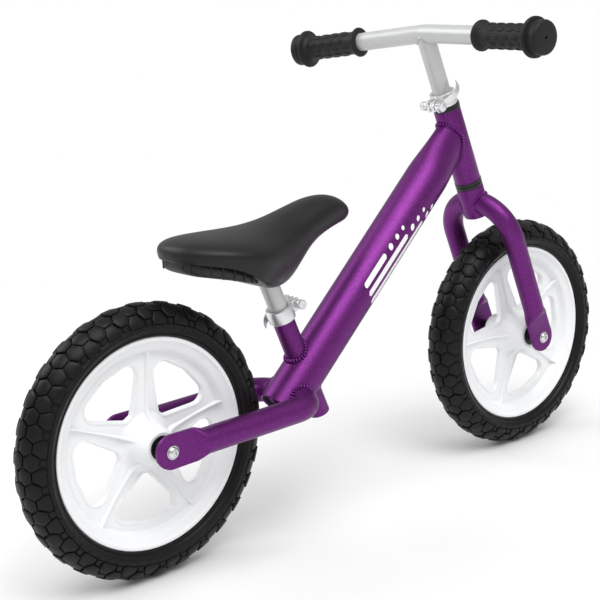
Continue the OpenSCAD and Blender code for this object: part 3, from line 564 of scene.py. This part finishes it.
def makeBar():
    spec = barSpec
    r = spec["radius"]
    bm = bmesh.new()
    loft(bm, [(place, oval(r, r)) for place in barPlaces()])
    finish("handlebarTube", bm, onBar, "handlebar", "silver", ["handlebar"])
    bm = bmesh.new()
    turned(bm, [(0, spec["stemLow"]), (r - 1, spec["stemLow"]), (r, spec["stemLow"] + 1),
                (r, spec["up"] - 3), (0, spec["up"] - 3)], steps=72)
    finish("stemTube", bm, onBar, "handlebar", "silver", ["stem_tube"])
    bm = bmesh.new()
    ring = oval(r, r, count=48)
    across = shift(0, 0, spec["up"]) @ turn("X", 90)
    line = meeting(Matrix(), ring, across, r)
    beads(bm, [p + Vector((p.x, p.y, 0)) * 0.03 for p in line], *beadSpec["stem"])
    finish("stemWeld", bm, onBar, "handlebar", "silver", ["stem_weld"], crease=60, weld=0)


gripSpec = {
    "body": 14, "flange": 18, "flangeLen": 4, "len": 76, "end": 23, "endLen": 5,
    "plug": 19.5, "plugLen": 14, "wall": 4, "hole": 2.5, "rows": 9, "perRow": 4,
    "lump": (7.2, 3.6, 1.5),
}


def gripProfile():
    # from the inner flange's mouth out to the hole in the end
    spec = gripSpec
    plugLow = spec["wall"] - spec["plugLen"]
    endLow = plugLow - spec["endLen"]
    bodyLow = endLow - spec["len"]
    b, f, e, p = spec["body"], spec["flange"], spec["end"], spec["plug"]
    top = spec["wall"]
    low = bodyLow - spec["flangeLen"]
    return [
        (11.0, low + 14), (11.15, low + 0.6), (11.8, low), (f - 1.6, low), (f - 0.4, low + 0.6),
        (f, low + 1.8),
        (f, bodyLow - 0.6), (f - 0.6, bodyLow + 0.3), (f - 1.6, bodyLow + 0.7), (b + 2.1, bodyLow + 0.9),
        (b + 1.5, bodyLow + 1.3), (b + 1.4, bodyLow + 3.6), (b + 1.0, bodyLow + 4.2),
        (b + 0.2, bodyLow + 4.6), (b, bodyLow + 5.6), (b, endLow - 7), (b + 0.5, endLow - 5),
        (b + 1.6, endLow - 3), (b + 3.6, endLow - 1.2),
        (e - 2.4, endLow - 0.4), (e - 0.8, endLow + 0.1), (e, endLow + 1.2), (e, plugLow - 1.4),
        (e - 0.6, plugLow - 0.4), (e - 1.8, plugLow), (p + 0.9, plugLow + 0.1), (p - 0.9, plugLow + 0.4),
        (p - 1.3, plugLow + 1.2), (p - 1.3, plugLow + 2.6), (p - 0.6, plugLow + 3.4), (p, plugLow + 4.4),
        (p, top - 3.2), (p - 0.5, top - 1.8), (p - 1.6, top - 0.8), (p - 3.4, top - 0.35),
        (p * 0.5, top - 0.05),
        (spec["hole"] * 0.7 + 0.5, top), (spec["hole"] * 0.7, top - 0.4), (spec["hole"] * 0.7, top - 3.8),
        (0, top - 3.8),
    ]


def makeGrips():
    spec = gripSpec
    bodyLow = spec["wall"] - spec["plugLen"] - spec["endLen"] - spec["len"]
    for side, name in ((1, "Left"), (-1, "Right")):
        out = (barTip(side) - Vector((0, 0, barSpec["up"]))).normalized()
        place = onBar @ Matrix.Translation(barTip(side)) @ out.to_track_quat("Z", "Y").to_matrix().to_4x4()
        bm = bmesh.new()
        turned(bm, gripProfile(), steps=96)
        step = (spec["len"] - 20) / spec["perRow"]
        for row in range(spec["rows"]):
            for k in range(spec["perRow"]):
                z = bodyLow + 12 + step * (k + 0.25 + 0.5 * (row % 2))
                at = turn("Z", 360 * row / spec["rows"]) @ shift(spec["body"] - 0.25, 0, z)
                long, wide, high = spec["lump"]
                shape = at @ Matrix.Diagonal((high, wide, long, 1))
                bmesh.ops.create_icosphere(bm, subdivisions=3, radius=1, matrix=shape)
        finish("grip" + name, bm, place, "handlebar", "rubber", ["grip_" + name.lower()], crease=38)


makeBar()
makeGrips()
print("handlebar made")


# Clamp collars: a split band with ears, a thumb nut and a cam lever

clampSpec = {
    "height": 16, "wall": 3, "gap": 3.4, "ear": 4.2, "reach": 23, "nutRadius": 5.6, "nutLen": 8,
    "camRadius": 6.4, "leverWide": 9.4, "leverThin": 1.5, "leverIn": 21.8, "bore": 12.75, "lip": 11.5,
}


def clampPlace(which):
    if which == "stem":
        low = headTop + 2 * headsetSpec["upperRing"] + headsetSpec["gap"] + 0.3
        return onSteering @ shift(0, 0, low + clampSpec["height"] / 2) @ turn("Z", 180)
    return onSeat @ shift(0, 0, layout["seatLen"] - clampSpec["height"] / 2 - 0.5)


def softBox(bm, low, high, place, ease=0.6):
    made = bmesh.ops.create_cube(bm, size=1)["verts"]
    size = [b - a for a, b in zip(low, high)]
    middle = [(a + b) / 2 for a, b in zip(low, high)]
    bmesh.ops.transform(bm, matrix=shift(*middle) @ Matrix.Diagonal((*size, 1)), verts=made)
    result = bmesh.ops.bevel(bm, geom=linkedEdges(made), offset=ease, offset_type="OFFSET", segments=3,
                             profile=0.5,
                             affect="EDGES", material=-1)
    verts = dict.fromkeys(result["verts"] + [vert for vert in made if vert.is_valid])
    bmesh.ops.transform(bm, matrix=place, verts=list(verts))


def makeClamp(which, body, tilt):
    spec = clampSpec
    place = clampPlace(which)
    bore, lip = spec["bore"], spec["lip"]
    half = spec["height"] / 2
    bm = bmesh.new()
    outer = bore + spec["wall"]
    turned(bm, [(bore, -half + 0.6), (bore + 0.6, -half), (bore + 2.3, -half), (bore + 2.9, -half + 0.7),
                (outer, -half + 1.4), (outer, half - 0.6), (bore + 2.6, half + 0.4), (bore + 1.9, half + 0.9),
                (lip + 0.5, half + 1.0), (lip, half + 0.7), (lip, half + 0.2), (bore, half + 0.2),
                (bore, -half + 0.6)], steps=96)
    for side in (-1, 1):
        near, far = sorted((side * spec["gap"] / 2, side * (spec["gap"] / 2 + spec["ear"])))
        softBox(bm, (bore + 0.6, near, -half + 1.2), (spec["reach"] + 3.4, far, half - 1.2), Matrix(), 1.0)
    finish(which + "Collar", bm, place, body, "polished", [which + "_collar"])

    # the thumb nut, scalloped round its rim, with a cross recess in its face
    bm = bmesh.new()
    r, length = spec["nutRadius"], spec["nutLen"]
    turned(bm, [(0, 0), (r - 2, 0), (r - 1.4, 0.5), (r - 1.4, 1.8), (r - 0.6, 2.2), (r, 3), (r, length + 0.6),
                (r - 0.5, length + 1.2), (r - 1.4, length + 1.5), (2.6, length + 1.2), (2.2, length + 0.2),
                (0, length + 0.1)], steps=96)
    for vert in bm.verts:
        flat = math.hypot(vert.co.x, vert.co.y)
        if flat > r - 0.7:
            angle = math.atan2(vert.co.y, vert.co.x)
            trim = 1 - 0.05 * (0.5 + 0.5 * math.cos(12 * angle))
            vert.co.x *= trim
            vert.co.y *= trim
    for quarter in (0, 90):
        softBox(bm, (-2.5, -0.45, length + 0.3), (2.5, 0.45, length + 1.35), turn("Z", quarter), 0.2)
    nutPlace = place @ shift(spec["reach"], -spec["gap"] / 2 - spec["ear"], 0) @ turn("X", 90)
    finish(which + "Nut", bm, nutPlace, body, "polished", [which + "_nut"], crease=40)

    tilted = place @ shift(spec["reach"], 0, 0) @ turn("Y", tilt) @ shift(-spec["reach"], 0, 0)
    makeLever(which, tilted)


def makeLever(which, place):
    # cam head on its pin, and a thin bowed arm that goes back past the tube
    spec = clampSpec
    pivot = spec["gap"] / 2 + spec["ear"] + 2 + 6.6 + 0.3
    bm = bmesh.new()
    cam, wide = spec["camRadius"], spec["leverWide"] / 2
    turned(bm, rounded(-wide, wide, 3.1, cam, 0.8), shift(spec["reach"], pivot, 0), steps=48)
    turned(bm, rounded(-wide - 0.2, wide + 0.2, 0.4, 3.0, 0.4), shift(spec["reach"], pivot, 0), steps=32)
    stations = []
    steps = 26
    for i in range(steps + 1):
        share = i / steps
        angle = 32 + (147 - 32) * share
        radius = spec["leverIn"] + 1.3 + 1.4 * math.sin(math.pi * share) ** 2 - 0.6 * share
        if share < 0.12:
            radius -= 2.2 * (0.12 - share) / 0.12
        thin = spec["leverThin"] / 2 * (1.5 - 0.5 * min(1, share * 4))
        height = wide * (0.78 + 0.24 * math.sin(math.pi * min(1, share * 1.15)))
        if share > 0.9:
            height *= math.sqrt(max(0.12, 1 - ((share - 0.9) / 0.1) ** 2))
        at = turn("Z", angle) @ shift(radius, 0, 0) @ turn("X", -90)
        stations.append((at, oval(thin, height, 0.55, 24)))
    loft(bm, stations)
    finish(which + "Lever", bm, place, which + "_lever", "polished", [which + "_lever"], crease=45)


makeClamp("stem", "fork", 22)
makeClamp("seat", "frame", -14)
print("clamps made")


# Saddle: a moulded shell over a ribbed base

saddleSpec = {
    # place along, half width, top, widest line, lower edge, half width of the lower edge
    "rows": [
        (-248, 9, 345, 341, 336, 7), (-246, 21, 349.5, 341.5, 335, 18), (-240.5, 33, 353.5, 342.5, 334, 30),
        (-230, 46, 356, 342.5, 332, 43), (-214, 58, 357, 341.5, 329, 55), (-196, 65, 357, 338.5, 323, 61),
        (-177, 68, 357, 334, 312, 61), (-162, 66.5, 357, 331, 301.5, 53), (-148, 62, 357.5, 329, 294, 41),
        (-134, 56, 358.5, 328, 289.5, 28), (-121, 49.5, 360.5, 329, 287, 20), (-108, 43.5, 363, 332, 287, 16),
        (-95, 38.5, 366.5, 337, 293, 15), (-82, 35, 370, 343, 308, 16), (-70, 32.5, 373, 349, 322, 17),
        (-56, 30, 376.5, 355, 333, 18), (-42, 28.5, 378, 359.5, 339, 18.5), (-28, 26.5, 378, 361.5, 343, 17),
        (-17, 24, 375, 360.5, 345, 15), (-8, 19.5, 369, 358.5, 346.5, 12), (-2, 13, 362, 355.5, 348, 8),
        (0, 6, 356.5, 353, 349.5, 4),
    ],
    "baseRows": [
        (-243, 9, 337, 328), (-239, 24, 337, 323), (-229, 38, 335, 318.5), (-214, 49, 332, 315),
        (-196, 54, 326, 310.5), (-180, 54, 318, 306), (-166, 46, 310, 302),
    ],
    "ribs": 9, "postLift": 332,
}


def saddleRing(row, count=32):
    x, half, top, mid, low, lowHalf = row
    ring = []
    for i in range(count):
        a = math.tau * i / count
        c, s = math.cos(a), math.sin(a)
        if s >= 0:
            ring.append(Vector((x, half * power(c, 0.94), mid + (top - mid) * s ** 0.96)))
        else:
            k = min(1, -s * 1.06)
            flat = min(1, abs(c) / 0.33)
            y = (half - (half - lowHalf) * k * k) * (flat if k >= 1 else 1)
            ring.append(Vector((x, math.copysign(y, c), mid + (low - mid) * k)))
    return ring


def subdivided(piece, levels):
    smooth = piece.modifiers.new("smooth", "SUBSURF")
    smooth.levels = levels
    smooth.render_levels = levels


def makeSaddle():
    spec = saddleSpec
    bm = bmesh.new()
    loft(bm, [(Matrix(), saddleRing(row)) for row in spec["rows"]])
    bmesh.ops.poke(bm, faces=[face for face in bm.faces if len(face.verts) > 4])
    shell = finish("saddleShell", bm, Matrix(), "saddle", "saddle", ["saddle_pad"], crease=180)
    subdivided(shell, 2)

    # the base under the rear, a little inside the shell's edge, with upright ribs
    bm = bmesh.new()
    stations = []
    for x, half, top, low in spec["baseRows"]:
        ring = []
        for i in range(28):
            a = math.tau * i / 28
            c, s = math.cos(a), math.sin(a)
            ring.append(Vector((x, half * power(c, 0.55), (top + low) / 2 + (top - low) / 2 * power(s, 0.5))))
        stations.append((Matrix(), ring))
    loft(bm, stations)
    rows = spec["baseRows"]
    for side in (-1, 1):
        for i in range(spec["ribs"]):
            t = (i + 0.5) / spec["ribs"] * (len(rows) - 1)
            k = min(int(t), len(rows) - 2)
            x, half, top, low = (a + (b - a) * (t - k) for a, b in zip(rows[k], rows[k + 1]))
            at = side * half
            softBox(bm, (x - 0.6, at - 1, low + 1.5), (x + 0.6, at + 0.7, top + 1), Matrix(), 0.25)
    finish("saddleBase", bm, Matrix(), "saddle", "base", ["saddle_pan"], crease=50)

    bm = bmesh.new()
    top = (spec["postLift"] - layout["seatLow"][2]) / seatUp.z
    r = layout["postRadius"]
    turned(bm, [(0, 55), (r - 0.8, 55), (r, 56), (r, top), (0, top)], steps=72)
    finish("seatPost", bm, onSeat, "saddle", "silver", ["seat_post"])


makeSaddle()
print("saddle made")


# Wheels, made about +Z and then laid along Y

rimSpec = {
    "lip": 115, "lipHalf": 16.6, "inner": 96, "web": 7, "spokes": 5, "hubHalf": 33, "bossRadius": 16.5,
    "outerCorner": 13, "outerAt": 75.5, "innerCorner": 9, "innerAt": 42, "halfSpoke": 9.5, "edge": 1.5,
}


def onWheel(axle, phase):
    # the local X axis points at the first spoke, at its angle above +X
    return Matrix.Translation(axle) @ turn("Y", -phase) @ turn("X", 90)


def openingOutline(grow=0.0):
    # one rounded three-sided opening, with its middle on +X, as tangents round four circles
    spec = rimSpec
    taken = math.degrees(math.asin((spec["halfSpoke"] + spec["outerCorner"]) / spec["outerAt"]))
    spread = 180 / spec["spokes"] - taken
    outerAt = Vector((spec["outerAt"], 0))
    circles = [(Matrix.Rotation(math.radians(a), 2) @ outerAt, spec["outerCorner"] + grow)
               for a in (-spread, 0, spread)]
    circles.append((Vector((spec["innerAt"], 0)), spec["innerCorner"] + grow))
    points = []
    for i in range(len(circles)):
        before, here, after = circles[i - 1], circles[i], circles[(i + 1) % len(circles)]
        angles = []
        for a, b in ((before, here), (here, after)):
            run = b[0] - a[0]
            angles.append(math.atan2(run.y, run.x) - math.acos((a[1] - b[1]) / run.length))
        start, stop = angles
        while stop < start:
            stop += math.tau
        for k in range(11):
            angle = start + (stop - start) * k / 10
            points.append(here[0] + here[1] * Vector((math.cos(angle), math.sin(angle))))
    return points


def addPlate(bm, outlines, half, ease):
    # adds a plate filled between its outlines, with eased edges
    curve = bpy.data.curves.new("plate", "CURVE")
    curve.dimensions = "2D"
    curve.fill_mode = "BOTH"
    curve.extrude = half - ease
    curve.bevel_depth = ease
    curve.bevel_resolution = 3
    for outline in outlines:
        spline = curve.splines.new("POLY")
        spline.points.add(len(outline) - 1)
        for point, at in zip(spline.points, outline):
            point.co = (at[0], at[1], 0, 1)
        spline.use_cyclic_u = True
    holder = bpy.data.objects.new("plate", curve)
    bpy.context.scene.collection.objects.link(holder)
    bpy.context.view_layer.update()
    mesh = bpy.data.meshes.new_from_object(holder.evaluated_get(bpy.context.evaluated_depsgraph_get()))
    bm.from_mesh(mesh)
    bpy.data.objects.remove(holder)
    bpy.data.curves.remove(curve)
    bpy.data.meshes.remove(mesh)


def makeRim(name, axle, body):
    spec = rimSpec
    bm = bmesh.new()
    lip, half, inner, web = spec["lip"], spec["lipHalf"], spec["inner"], spec["web"] / 2
    profile = [
        (inner - 0.4, -web + 0.3), (inner + 1.0, -web - 0.2), (inner + 2.0, -web - 1.4),
        (inner + 3.6, -half + 7),
        (inner + 4.8, -half + 5), (inner + 6.6, -half + 3.8), (lip - 6.4, -half + 2.2),
        (lip - 5.2, -half + 1.2),
        (lip - 4.6, -half + 0.1), (lip - 3.8, -half - 0.2), (lip - 0.9, -half - 0.2),
        (lip - 0.1, -half + 0.5),
        (lip, -half + 1.6), (lip, -12.6), (107.4, -12.6),
    ]
    profile += [(r, -z) for r, z in reversed(profile)] + profile[:1]
    turned(bm, profile, steps=160)
    finish(name + "Rim", bm, onWheel(axle, 0), body, "white", [name + "_rim"], crease=40)


def makeSpokes(name, axle, phase, body):
    spec = rimSpec
    web = spec["web"] / 2
    spins = [Matrix.Rotation(math.radians(360 * (i + 0.5) / spec["spokes"]), 2)
             for i in range(spec["spokes"])]
    disc = [(math.cos(a) * spec["inner"], math.sin(a) * spec["inner"])
            for a in (math.tau * k / 96 for k in range(96))]
    bm = bmesh.new()
    addPlate(bm, [disc] + [[spin @ p for p in openingOutline()] for spin in spins], web, 1.2)
    # a thin raised edge round each opening
    for spin in spins:
        edges = [[spin @ p for p in openingOutline(grow)] for grow in (spec["edge"], 0.1)]
        addPlate(bm, edges, web + 0.8, 0.45)
    # a rib along each spoke, highest at the hub and pointed at the rim
    ridge = [(20, 22, 2.4), (24, 16.5, 2.2), (30, 11.2, 1.9), (38, 8.4, 1.6), (50, 6.9, 1.35), (68, 6.5, 1.2),
             (84, 7.6, 1.1), (94, 9.2, 1.0), (100, 10.9, 0.8), (103.5, 12.1, 0.35)]
    for i in range(spec["spokes"]):
        at = turn("Z", 360 * i / spec["spokes"])
        for side in (1, -1):
            stations = []
            for radius, high, wide in ridge:
                low = web - 2
                outline = [(-wide * 1.5, low), (-wide * 1.2, web + 0.3), (-wide * 0.8, high - 1.2),
                           (-wide * 0.4, high - 0.2), (wide * 0.4, high - 0.2), (wide * 0.8, high - 1.2),
                           (wide * 1.2, web + 0.3), (wide * 1.5, low)]
                stations.append((at, [Vector((radius, y, side * z)) for y, z in outline]))
            loft(bm, stations)
    # small moulding nub beside one opening
    nub = turn("Z", 47) @ shift(90.5, 0, web - 0.5)
    turned(bm, [(0, 1.9), (1.8, 1.8), (2.3, 1.3), (2.4, 0)], nub, steps=24)
    finish(name + "Spokes", bm, onWheel(axle, phase), body, "white", [name + "_spokes"], crease=40)


def makeHub(name, axle, body):
    spec = rimSpec
    web, boss, hubHalf = spec["web"] / 2, spec["bossRadius"], spec["hubHalf"]
    bm = bmesh.new()
    skirt = [(35, web - 0.8), (33, web + 0.1), (30.5, web + 1.2), (28, web + 3.2), (26, web + 6),
             (24.2, web + 10), (22.6, web + 15), (21, web + 20), (19.4, web + 24.5), (18, hubHalf - 1.8),
             (17.2, hubHalf - 0.6),
             (boss, hubHalf), (13.7, hubHalf), (13.1, hubHalf - 0.6), (13.1, hubHalf - 8), (6, hubHalf - 8)]
    outline = skirt + [(r, -z) for r, z in reversed(skirt)]
    turned(bm, outline + outline[:1], steps=96)
    finish(name + "Hub", bm, onWheel(axle, 0), body, "white", [name + "_hub"], crease=40)


tyreSpec = {
    "outer": 150, "half": 25.7, "groove": 3.4, "lower": 1.3, "around": 30, "columns": 5, "acrossStep": 20.6,
    "fill": 0.93, "ticks": 2, "phase": 0.3,
}


def tyrePoint(around, across, high):
    # a point over the tyre's carcass: angles round the wheel and round its section, in radians
    spec = tyreSpec
    section = spec["half"] - spec["groove"] + high
    middle = spec["outer"] - spec["half"]
    radius = middle + section * math.cos(across)
    return Vector((radius * math.cos(around), radius * math.sin(around), section * math.sin(across)))


def treadBlock(bm, around, across, corners, groove):
    # a raised block with an eased edge that follows the tyre's curve; corners are angles from its middle
    verts = bmesh.ops.create_circle(bm, cap_ends=True, radius=1, segments=len(corners))["verts"]
    face = verts[0].link_faces[0]
    levels = [(1.0, -0.4), (0.985, groove - 0.7), (0.955, groove - 0.15), (0.91, groove), (0.45, groove)]
    for number, (shrink, high) in enumerate(levels):
        if number:
            face = bmesh.ops.extrude_discrete_faces(bm, faces=[face])["faces"][0]
        for vert, corner in zip(face.verts, corners):
            vert.co = tyrePoint(around + corner[0] * shrink, across + corner[1] * shrink, high)
    centre = bmesh.ops.poke(bm, faces=[face])["verts"][0]
    centre.co = tyrePoint(around, across, groove)


def sideTick(bm, around, side):
    # a short tick across the shoulder, below the blocks
    verts = bmesh.ops.create_cube(bm, size=2)["verts"]
    for vert in verts:
        across = math.radians(83 + 6 * vert.co.y)
        high = 1.0 if vert.co.z < 0 else 2.5 - 0.6 * max(0, vert.co.y)
        vert.co = tyrePoint(around + 0.0042 * vert.co.x, side * across, high)


def makeTyre(name, axle, phase, body):
    spec = tyreSpec
    pitch = math.tau / spec["around"]
    step = math.radians(spec["acrossStep"])
    fill = spec["fill"]
    hexagon = [(math.cos(a) * pitch / 3 * fill, math.sin(a) * step / math.sin(math.pi / 3) * fill)
               for a in (math.tau * k / 6 for k in range(6))]
    bm = bmesh.new()
    last = (spec["columns"] - 1) // 2
    for column in range(-last, last + 1):
        around = pitch * (0.5 * (column % 2) + spec["phase"])
        treadBlock(bm, around, column * step, hexagon, spec["groove"] - spec["lower"] * (column % 2))
    # shoulder blocks are hexagons cut straight across, with ticks below them
    for side in (-1, 1):
        around = pitch * (0.5 * ((last + 1) % 2) + spec["phase"])
        third = pitch / 3 * fill
        shoulder = side * (last + 1) * step
        low = 0.75 * step
        thin = third * 0.34
        corners = [(third / 2, -step * fill), (third, 0), (third, low), (-third, low), (-third, 0),
                   (-third / 2, -step * fill)]
        high = spec["groove"] - spec["lower"]
        treadBlock(bm, around, shoulder, [(a, side * b) for a, b in corners], high)
        between = [(thin, 0.1 * step), (thin, low), (-thin, low), (-thin, 0.1 * step)]
        treadBlock(bm, around + pitch / 2, shoulder, [(a, side * b) for a, b in between], high * 0.7)
        for i in range(spec["ticks"]):
            sideTick(bm, around + pitch * (i + 0.5) / spec["ticks"] + pitch * 0.08, side)
    bmesh.ops.spin(bm, geom=bm.verts[:] + bm.edges[:] + bm.faces[:], cent=(0, 0, 0), axis=(0, 0, 1),
                   angle=math.tau * (spec["around"] - 1) / spec["around"], steps=spec["around"] - 1,
                   use_duplicate=True, use_merge=False)

    carcass = spec["half"] - spec["groove"]
    middle = spec["outer"] - spec["half"]
    profile = [(107.6, -12.4), (115.2, -12.4), (115.4, -17.2), (116.2, -18.6), (117.6, -19.2), (118.6, -18.9),
               (119.2, -19.5), (120.4, -21.4), (121.2, -21.8)]
    full = len(profile)
    for d in range(-90, 91, 5):
        grown = carcass + 1.6 * min(1, max(0, (abs(d) - 76) / 4))
        profile.append((middle + grown * math.cos(math.radians(d)), grown * math.sin(math.radians(d))))
    profile += [(r, -z) for r, z in profile[full - 1::-1]]
    turned(bm, profile, steps=216)
    place = onWheel(axle, phase)
    finish(name + "Tyre", bm, place, body, "tyre", [name + "_tyre"], crease=30, weld=0.001)


bearingSpec = {"outer": 13, "half": 33}


def makeBearings(name, axle, body):
    spec = bearingSpec
    bm = bmesh.new()
    outer, face = spec["outer"], spec["half"]
    profile = [(outer, face - 7.5), (outer, face - 0.5), (outer - 0.5, face), (10.9, face),
               (10.6, face - 0.5),
               (8.2, face - 0.6), (7.9, face), (5.6, face), (5.1, face - 0.4), (5.1, face - 7.5),
               (outer, face - 7.5)]
    for side in (1, -1):
        turned(bm, [(r, side * z) for r, z in profile], steps=64)
    finish(name + "Bearings", bm, onWheel(axle, 0), body, "ringBlack", [name + "_bearings"])


boltSpec = {"face": 53, "washer": 7.5, "washerThick": 1.2, "head": 6.5, "headHigh": 3.6, "socket": 2.7}


def makeBolts(name, axle, body):
    spec = boltSpec
    head, high, socket = spec["head"], spec["headHigh"], spec["socket"]
    base = spec["face"] + spec["washerThick"]
    bm = bmesh.new()
    for side in (0, 180):
        turned(bm, [(0, base), (head - 0.5, base), (head, base + 0.4), (head, base + 0.9),
                    (head - 0.5, base + 1.9),
                    (head - 1.5, base + 2.9), (head - 2.8, base + high), (socket + 0.5, base + high + 0.1),
                    (socket, base + high - 0.2), (socket, base + high - 2.2), (0, base + high - 2.4)],
               turn("X", side), steps=60)
    for vert in bm.verts:
        flat = math.hypot(vert.co.x, vert.co.y)
        if 0.1 < flat < socket + 0.2:
            angle = math.degrees(math.atan2(vert.co.y, vert.co.x)) % 60 - 30
            trim = math.cos(math.radians(30)) / math.cos(math.radians(angle))
            vert.co.x *= trim
            vert.co.y *= trim
    finish(name + "Bolts", bm, onWheel(axle, 20), body, "steel", [name + "_bolts"], crease=40)
    bm = bmesh.new()
    for side in (0, 180):
        turned(bm, rounded(spec["face"], base, 3.2, spec["washer"], 0.3), turn("X", side), steps=60)
    finish(name + "Washers", bm, onWheel(axle, 0), body, "steel", [name + "_washers"])


def makeWheel(name, axle, phase, wheelBody, axleBody):
    makeRim(name, axle, wheelBody)
    makeSpokes(name, axle, phase, wheelBody)
    makeHub(name, axle, wheelBody)
    makeTyre(name, axle, phase, wheelBody)
    makeBearings(name, axle, wheelBody)
    makeBolts(name, axle, axleBody)


makeWheel("rear", rearAxle, 13.3, "rear_wheel", "frame")
makeWheel("front", frontAxle, 34.8, "front_wheel", "fork")
print("wheels made")


# CAD pieces that stay as they are: bearings, sleeves, skewers and plates inside

def dressInnerPieces():
    looks = {"steering_bearings": "steel", "fork_steerer": "polished", "post_plate": "steel",
             "saddle_screws": "steel", "stem_skewer": "steel", "seat_skewer": "steel"}
    for wheel in ("front", "rear"):
        looks[wheel + "_spacers"] = "ringBlack"
        looks.update({wheel + "_hub_sleeve": "steel", wheel + "_axle": "steel"})
    for node, look in looks.items():
        mesh = nodes[node].data
        mesh.materials.clear()
        mesh.materials.append(finishes[look])


dressInnerPieces()


# Floor, light and camera

studioSpec = {
    "floorSize": 14, "fade": (0.5, 1.5), "floorColour": (0.86, 0.86, 0.86), "sky": 0.55,
    "azimuth": -39.9018, "elevation": 13.1171, "roll": -2.7919,
    "place": (-1.00974, -1.1224, 0.602118), "lens": 78.69,
    "lights": [
        ("key", (-0.2, -1.7, 2.6), (0, 0, 0.25), 1.8, 26),
        ("rear", (-1.2, 1.9, 1.9), (0, 0, 0.3), 1.4, 20),
    ],
    "sun": (-0.25, -0.35, 1.0), "sunPower": 1.5, "sunSize": 50,
}


def fadeFloor(made, spec):
    # far from the object the floor turns into the white backdrop
    tree = made.node_tree
    coords = tree.nodes.new("ShaderNodeTexCoord")
    length = tree.nodes.new("ShaderNodeVectorMath")
    length.operation = "LENGTH"
    span = tree.nodes.new("ShaderNodeMapRange")
    span.interpolation_type = "SMOOTHSTEP"
    span.inputs["From Min"].default_value = spec["fade"][0]
    span.inputs["From Max"].default_value = spec["fade"][1]
    glow = tree.nodes.new("ShaderNodeEmission")
    mix = tree.nodes.new("ShaderNodeMixShader")
    tree.links.new(coords.outputs["Object"], length.inputs[0])
    tree.links.new(length.outputs["Value"], span.inputs["Value"])
    tree.links.new(span.outputs["Result"], mix.inputs["Fac"])
    tree.links.new(tree.nodes["Principled BSDF"].outputs["BSDF"], mix.inputs[1])
    tree.links.new(glow.outputs["Emission"], mix.inputs[2])
    tree.links.new(mix.outputs["Shader"], tree.nodes["Material Output"].inputs["Surface"])


def addLamp(light, aim, place=(0, 0, 0)):
    lamp = bpy.data.objects.new(light.name, light)
    lamp.matrix_world = Matrix.Translation(place) @ aim.to_matrix().to_4x4()
    bpy.context.scene.collection.objects.link(lamp)


def makeStudio():
    spec = studioSpec
    scene = bpy.context.scene
    world = bpy.data.worlds.new("studio")
    world.use_nodes = True
    world.node_tree.nodes["Background"].inputs["Color"].default_value = (1, 1, 1, 1)
    # the backdrop itself is white, and gives less light than it shows
    tree = world.node_tree
    path = tree.nodes.new("ShaderNodeLightPath")
    span = tree.nodes.new("ShaderNodeMapRange")
    span.inputs["To Min"].default_value = spec["sky"]
    span.inputs["To Max"].default_value = 1.0
    tree.links.new(path.outputs["Is Camera Ray"], span.inputs["Value"])
    tree.links.new(span.outputs["Result"], tree.nodes["Background"].inputs["Strength"])
    scene.world = world
    scene.view_settings.view_transform = "Standard"

    bm = bmesh.new()
    bmesh.ops.create_grid(bm, x_segments=8, y_segments=8, size=spec["floorSize"] / 2)
    mesh = bpy.data.meshes.new("floor")
    bm.to_mesh(mesh)
    bm.free()
    floor = bpy.data.objects.new("floor", mesh)
    scene.collection.objects.link(floor)
    pale = material("paleFloor", spec["floorColour"], 0.55)
    addTone(pale, 3, spec["floorColour"], tuple(min(1, c + 0.02) for c in spec["floorColour"]))
    fadeFloor(pale, spec)
    mesh.materials.append(pale)

    for name, place, target, size, watts in spec["lights"]:
        light = bpy.data.lights.new(name, "AREA")
        light.size = size
        light.energy = watts
        addLamp(light, (Vector(target) - Vector(place)).to_track_quat("-Z", "Y"), place)
    light = bpy.data.lights.new("sun", "SUN")
    light.energy = spec["sunPower"]
    light.angle = math.radians(spec["sunSize"])
    addLamp(light, Vector(spec["sun"]).to_track_quat("Z", "Y"))

    az, el, roll = (math.radians(spec[k]) for k in ("azimuth", "elevation", "roll"))
    back = Vector((math.sin(az) * math.cos(el), -math.cos(az) * math.cos(el), math.sin(el)))
    right = Vector((math.cos(az), math.sin(az), 0))
    up = back.cross(right)
    rolledRight = right * math.cos(roll) + up * math.sin(roll)
    rolledUp = up * math.cos(roll) - right * math.sin(roll)
    lens = bpy.data.cameras.new("camera")
    lens.lens = spec["lens"]
    lens.sensor_width = 36
    camera = bpy.data.objects.new("camera", lens)
    turned3 = Matrix((rolledRight, rolledUp, back)).transposed().to_4x4()
    camera.matrix_world = Matrix.Translation(spec["place"]) @ turned3
    scene.collection.objects.link(camera)
    scene.camera = camera


makeStudio()
print("studio made")
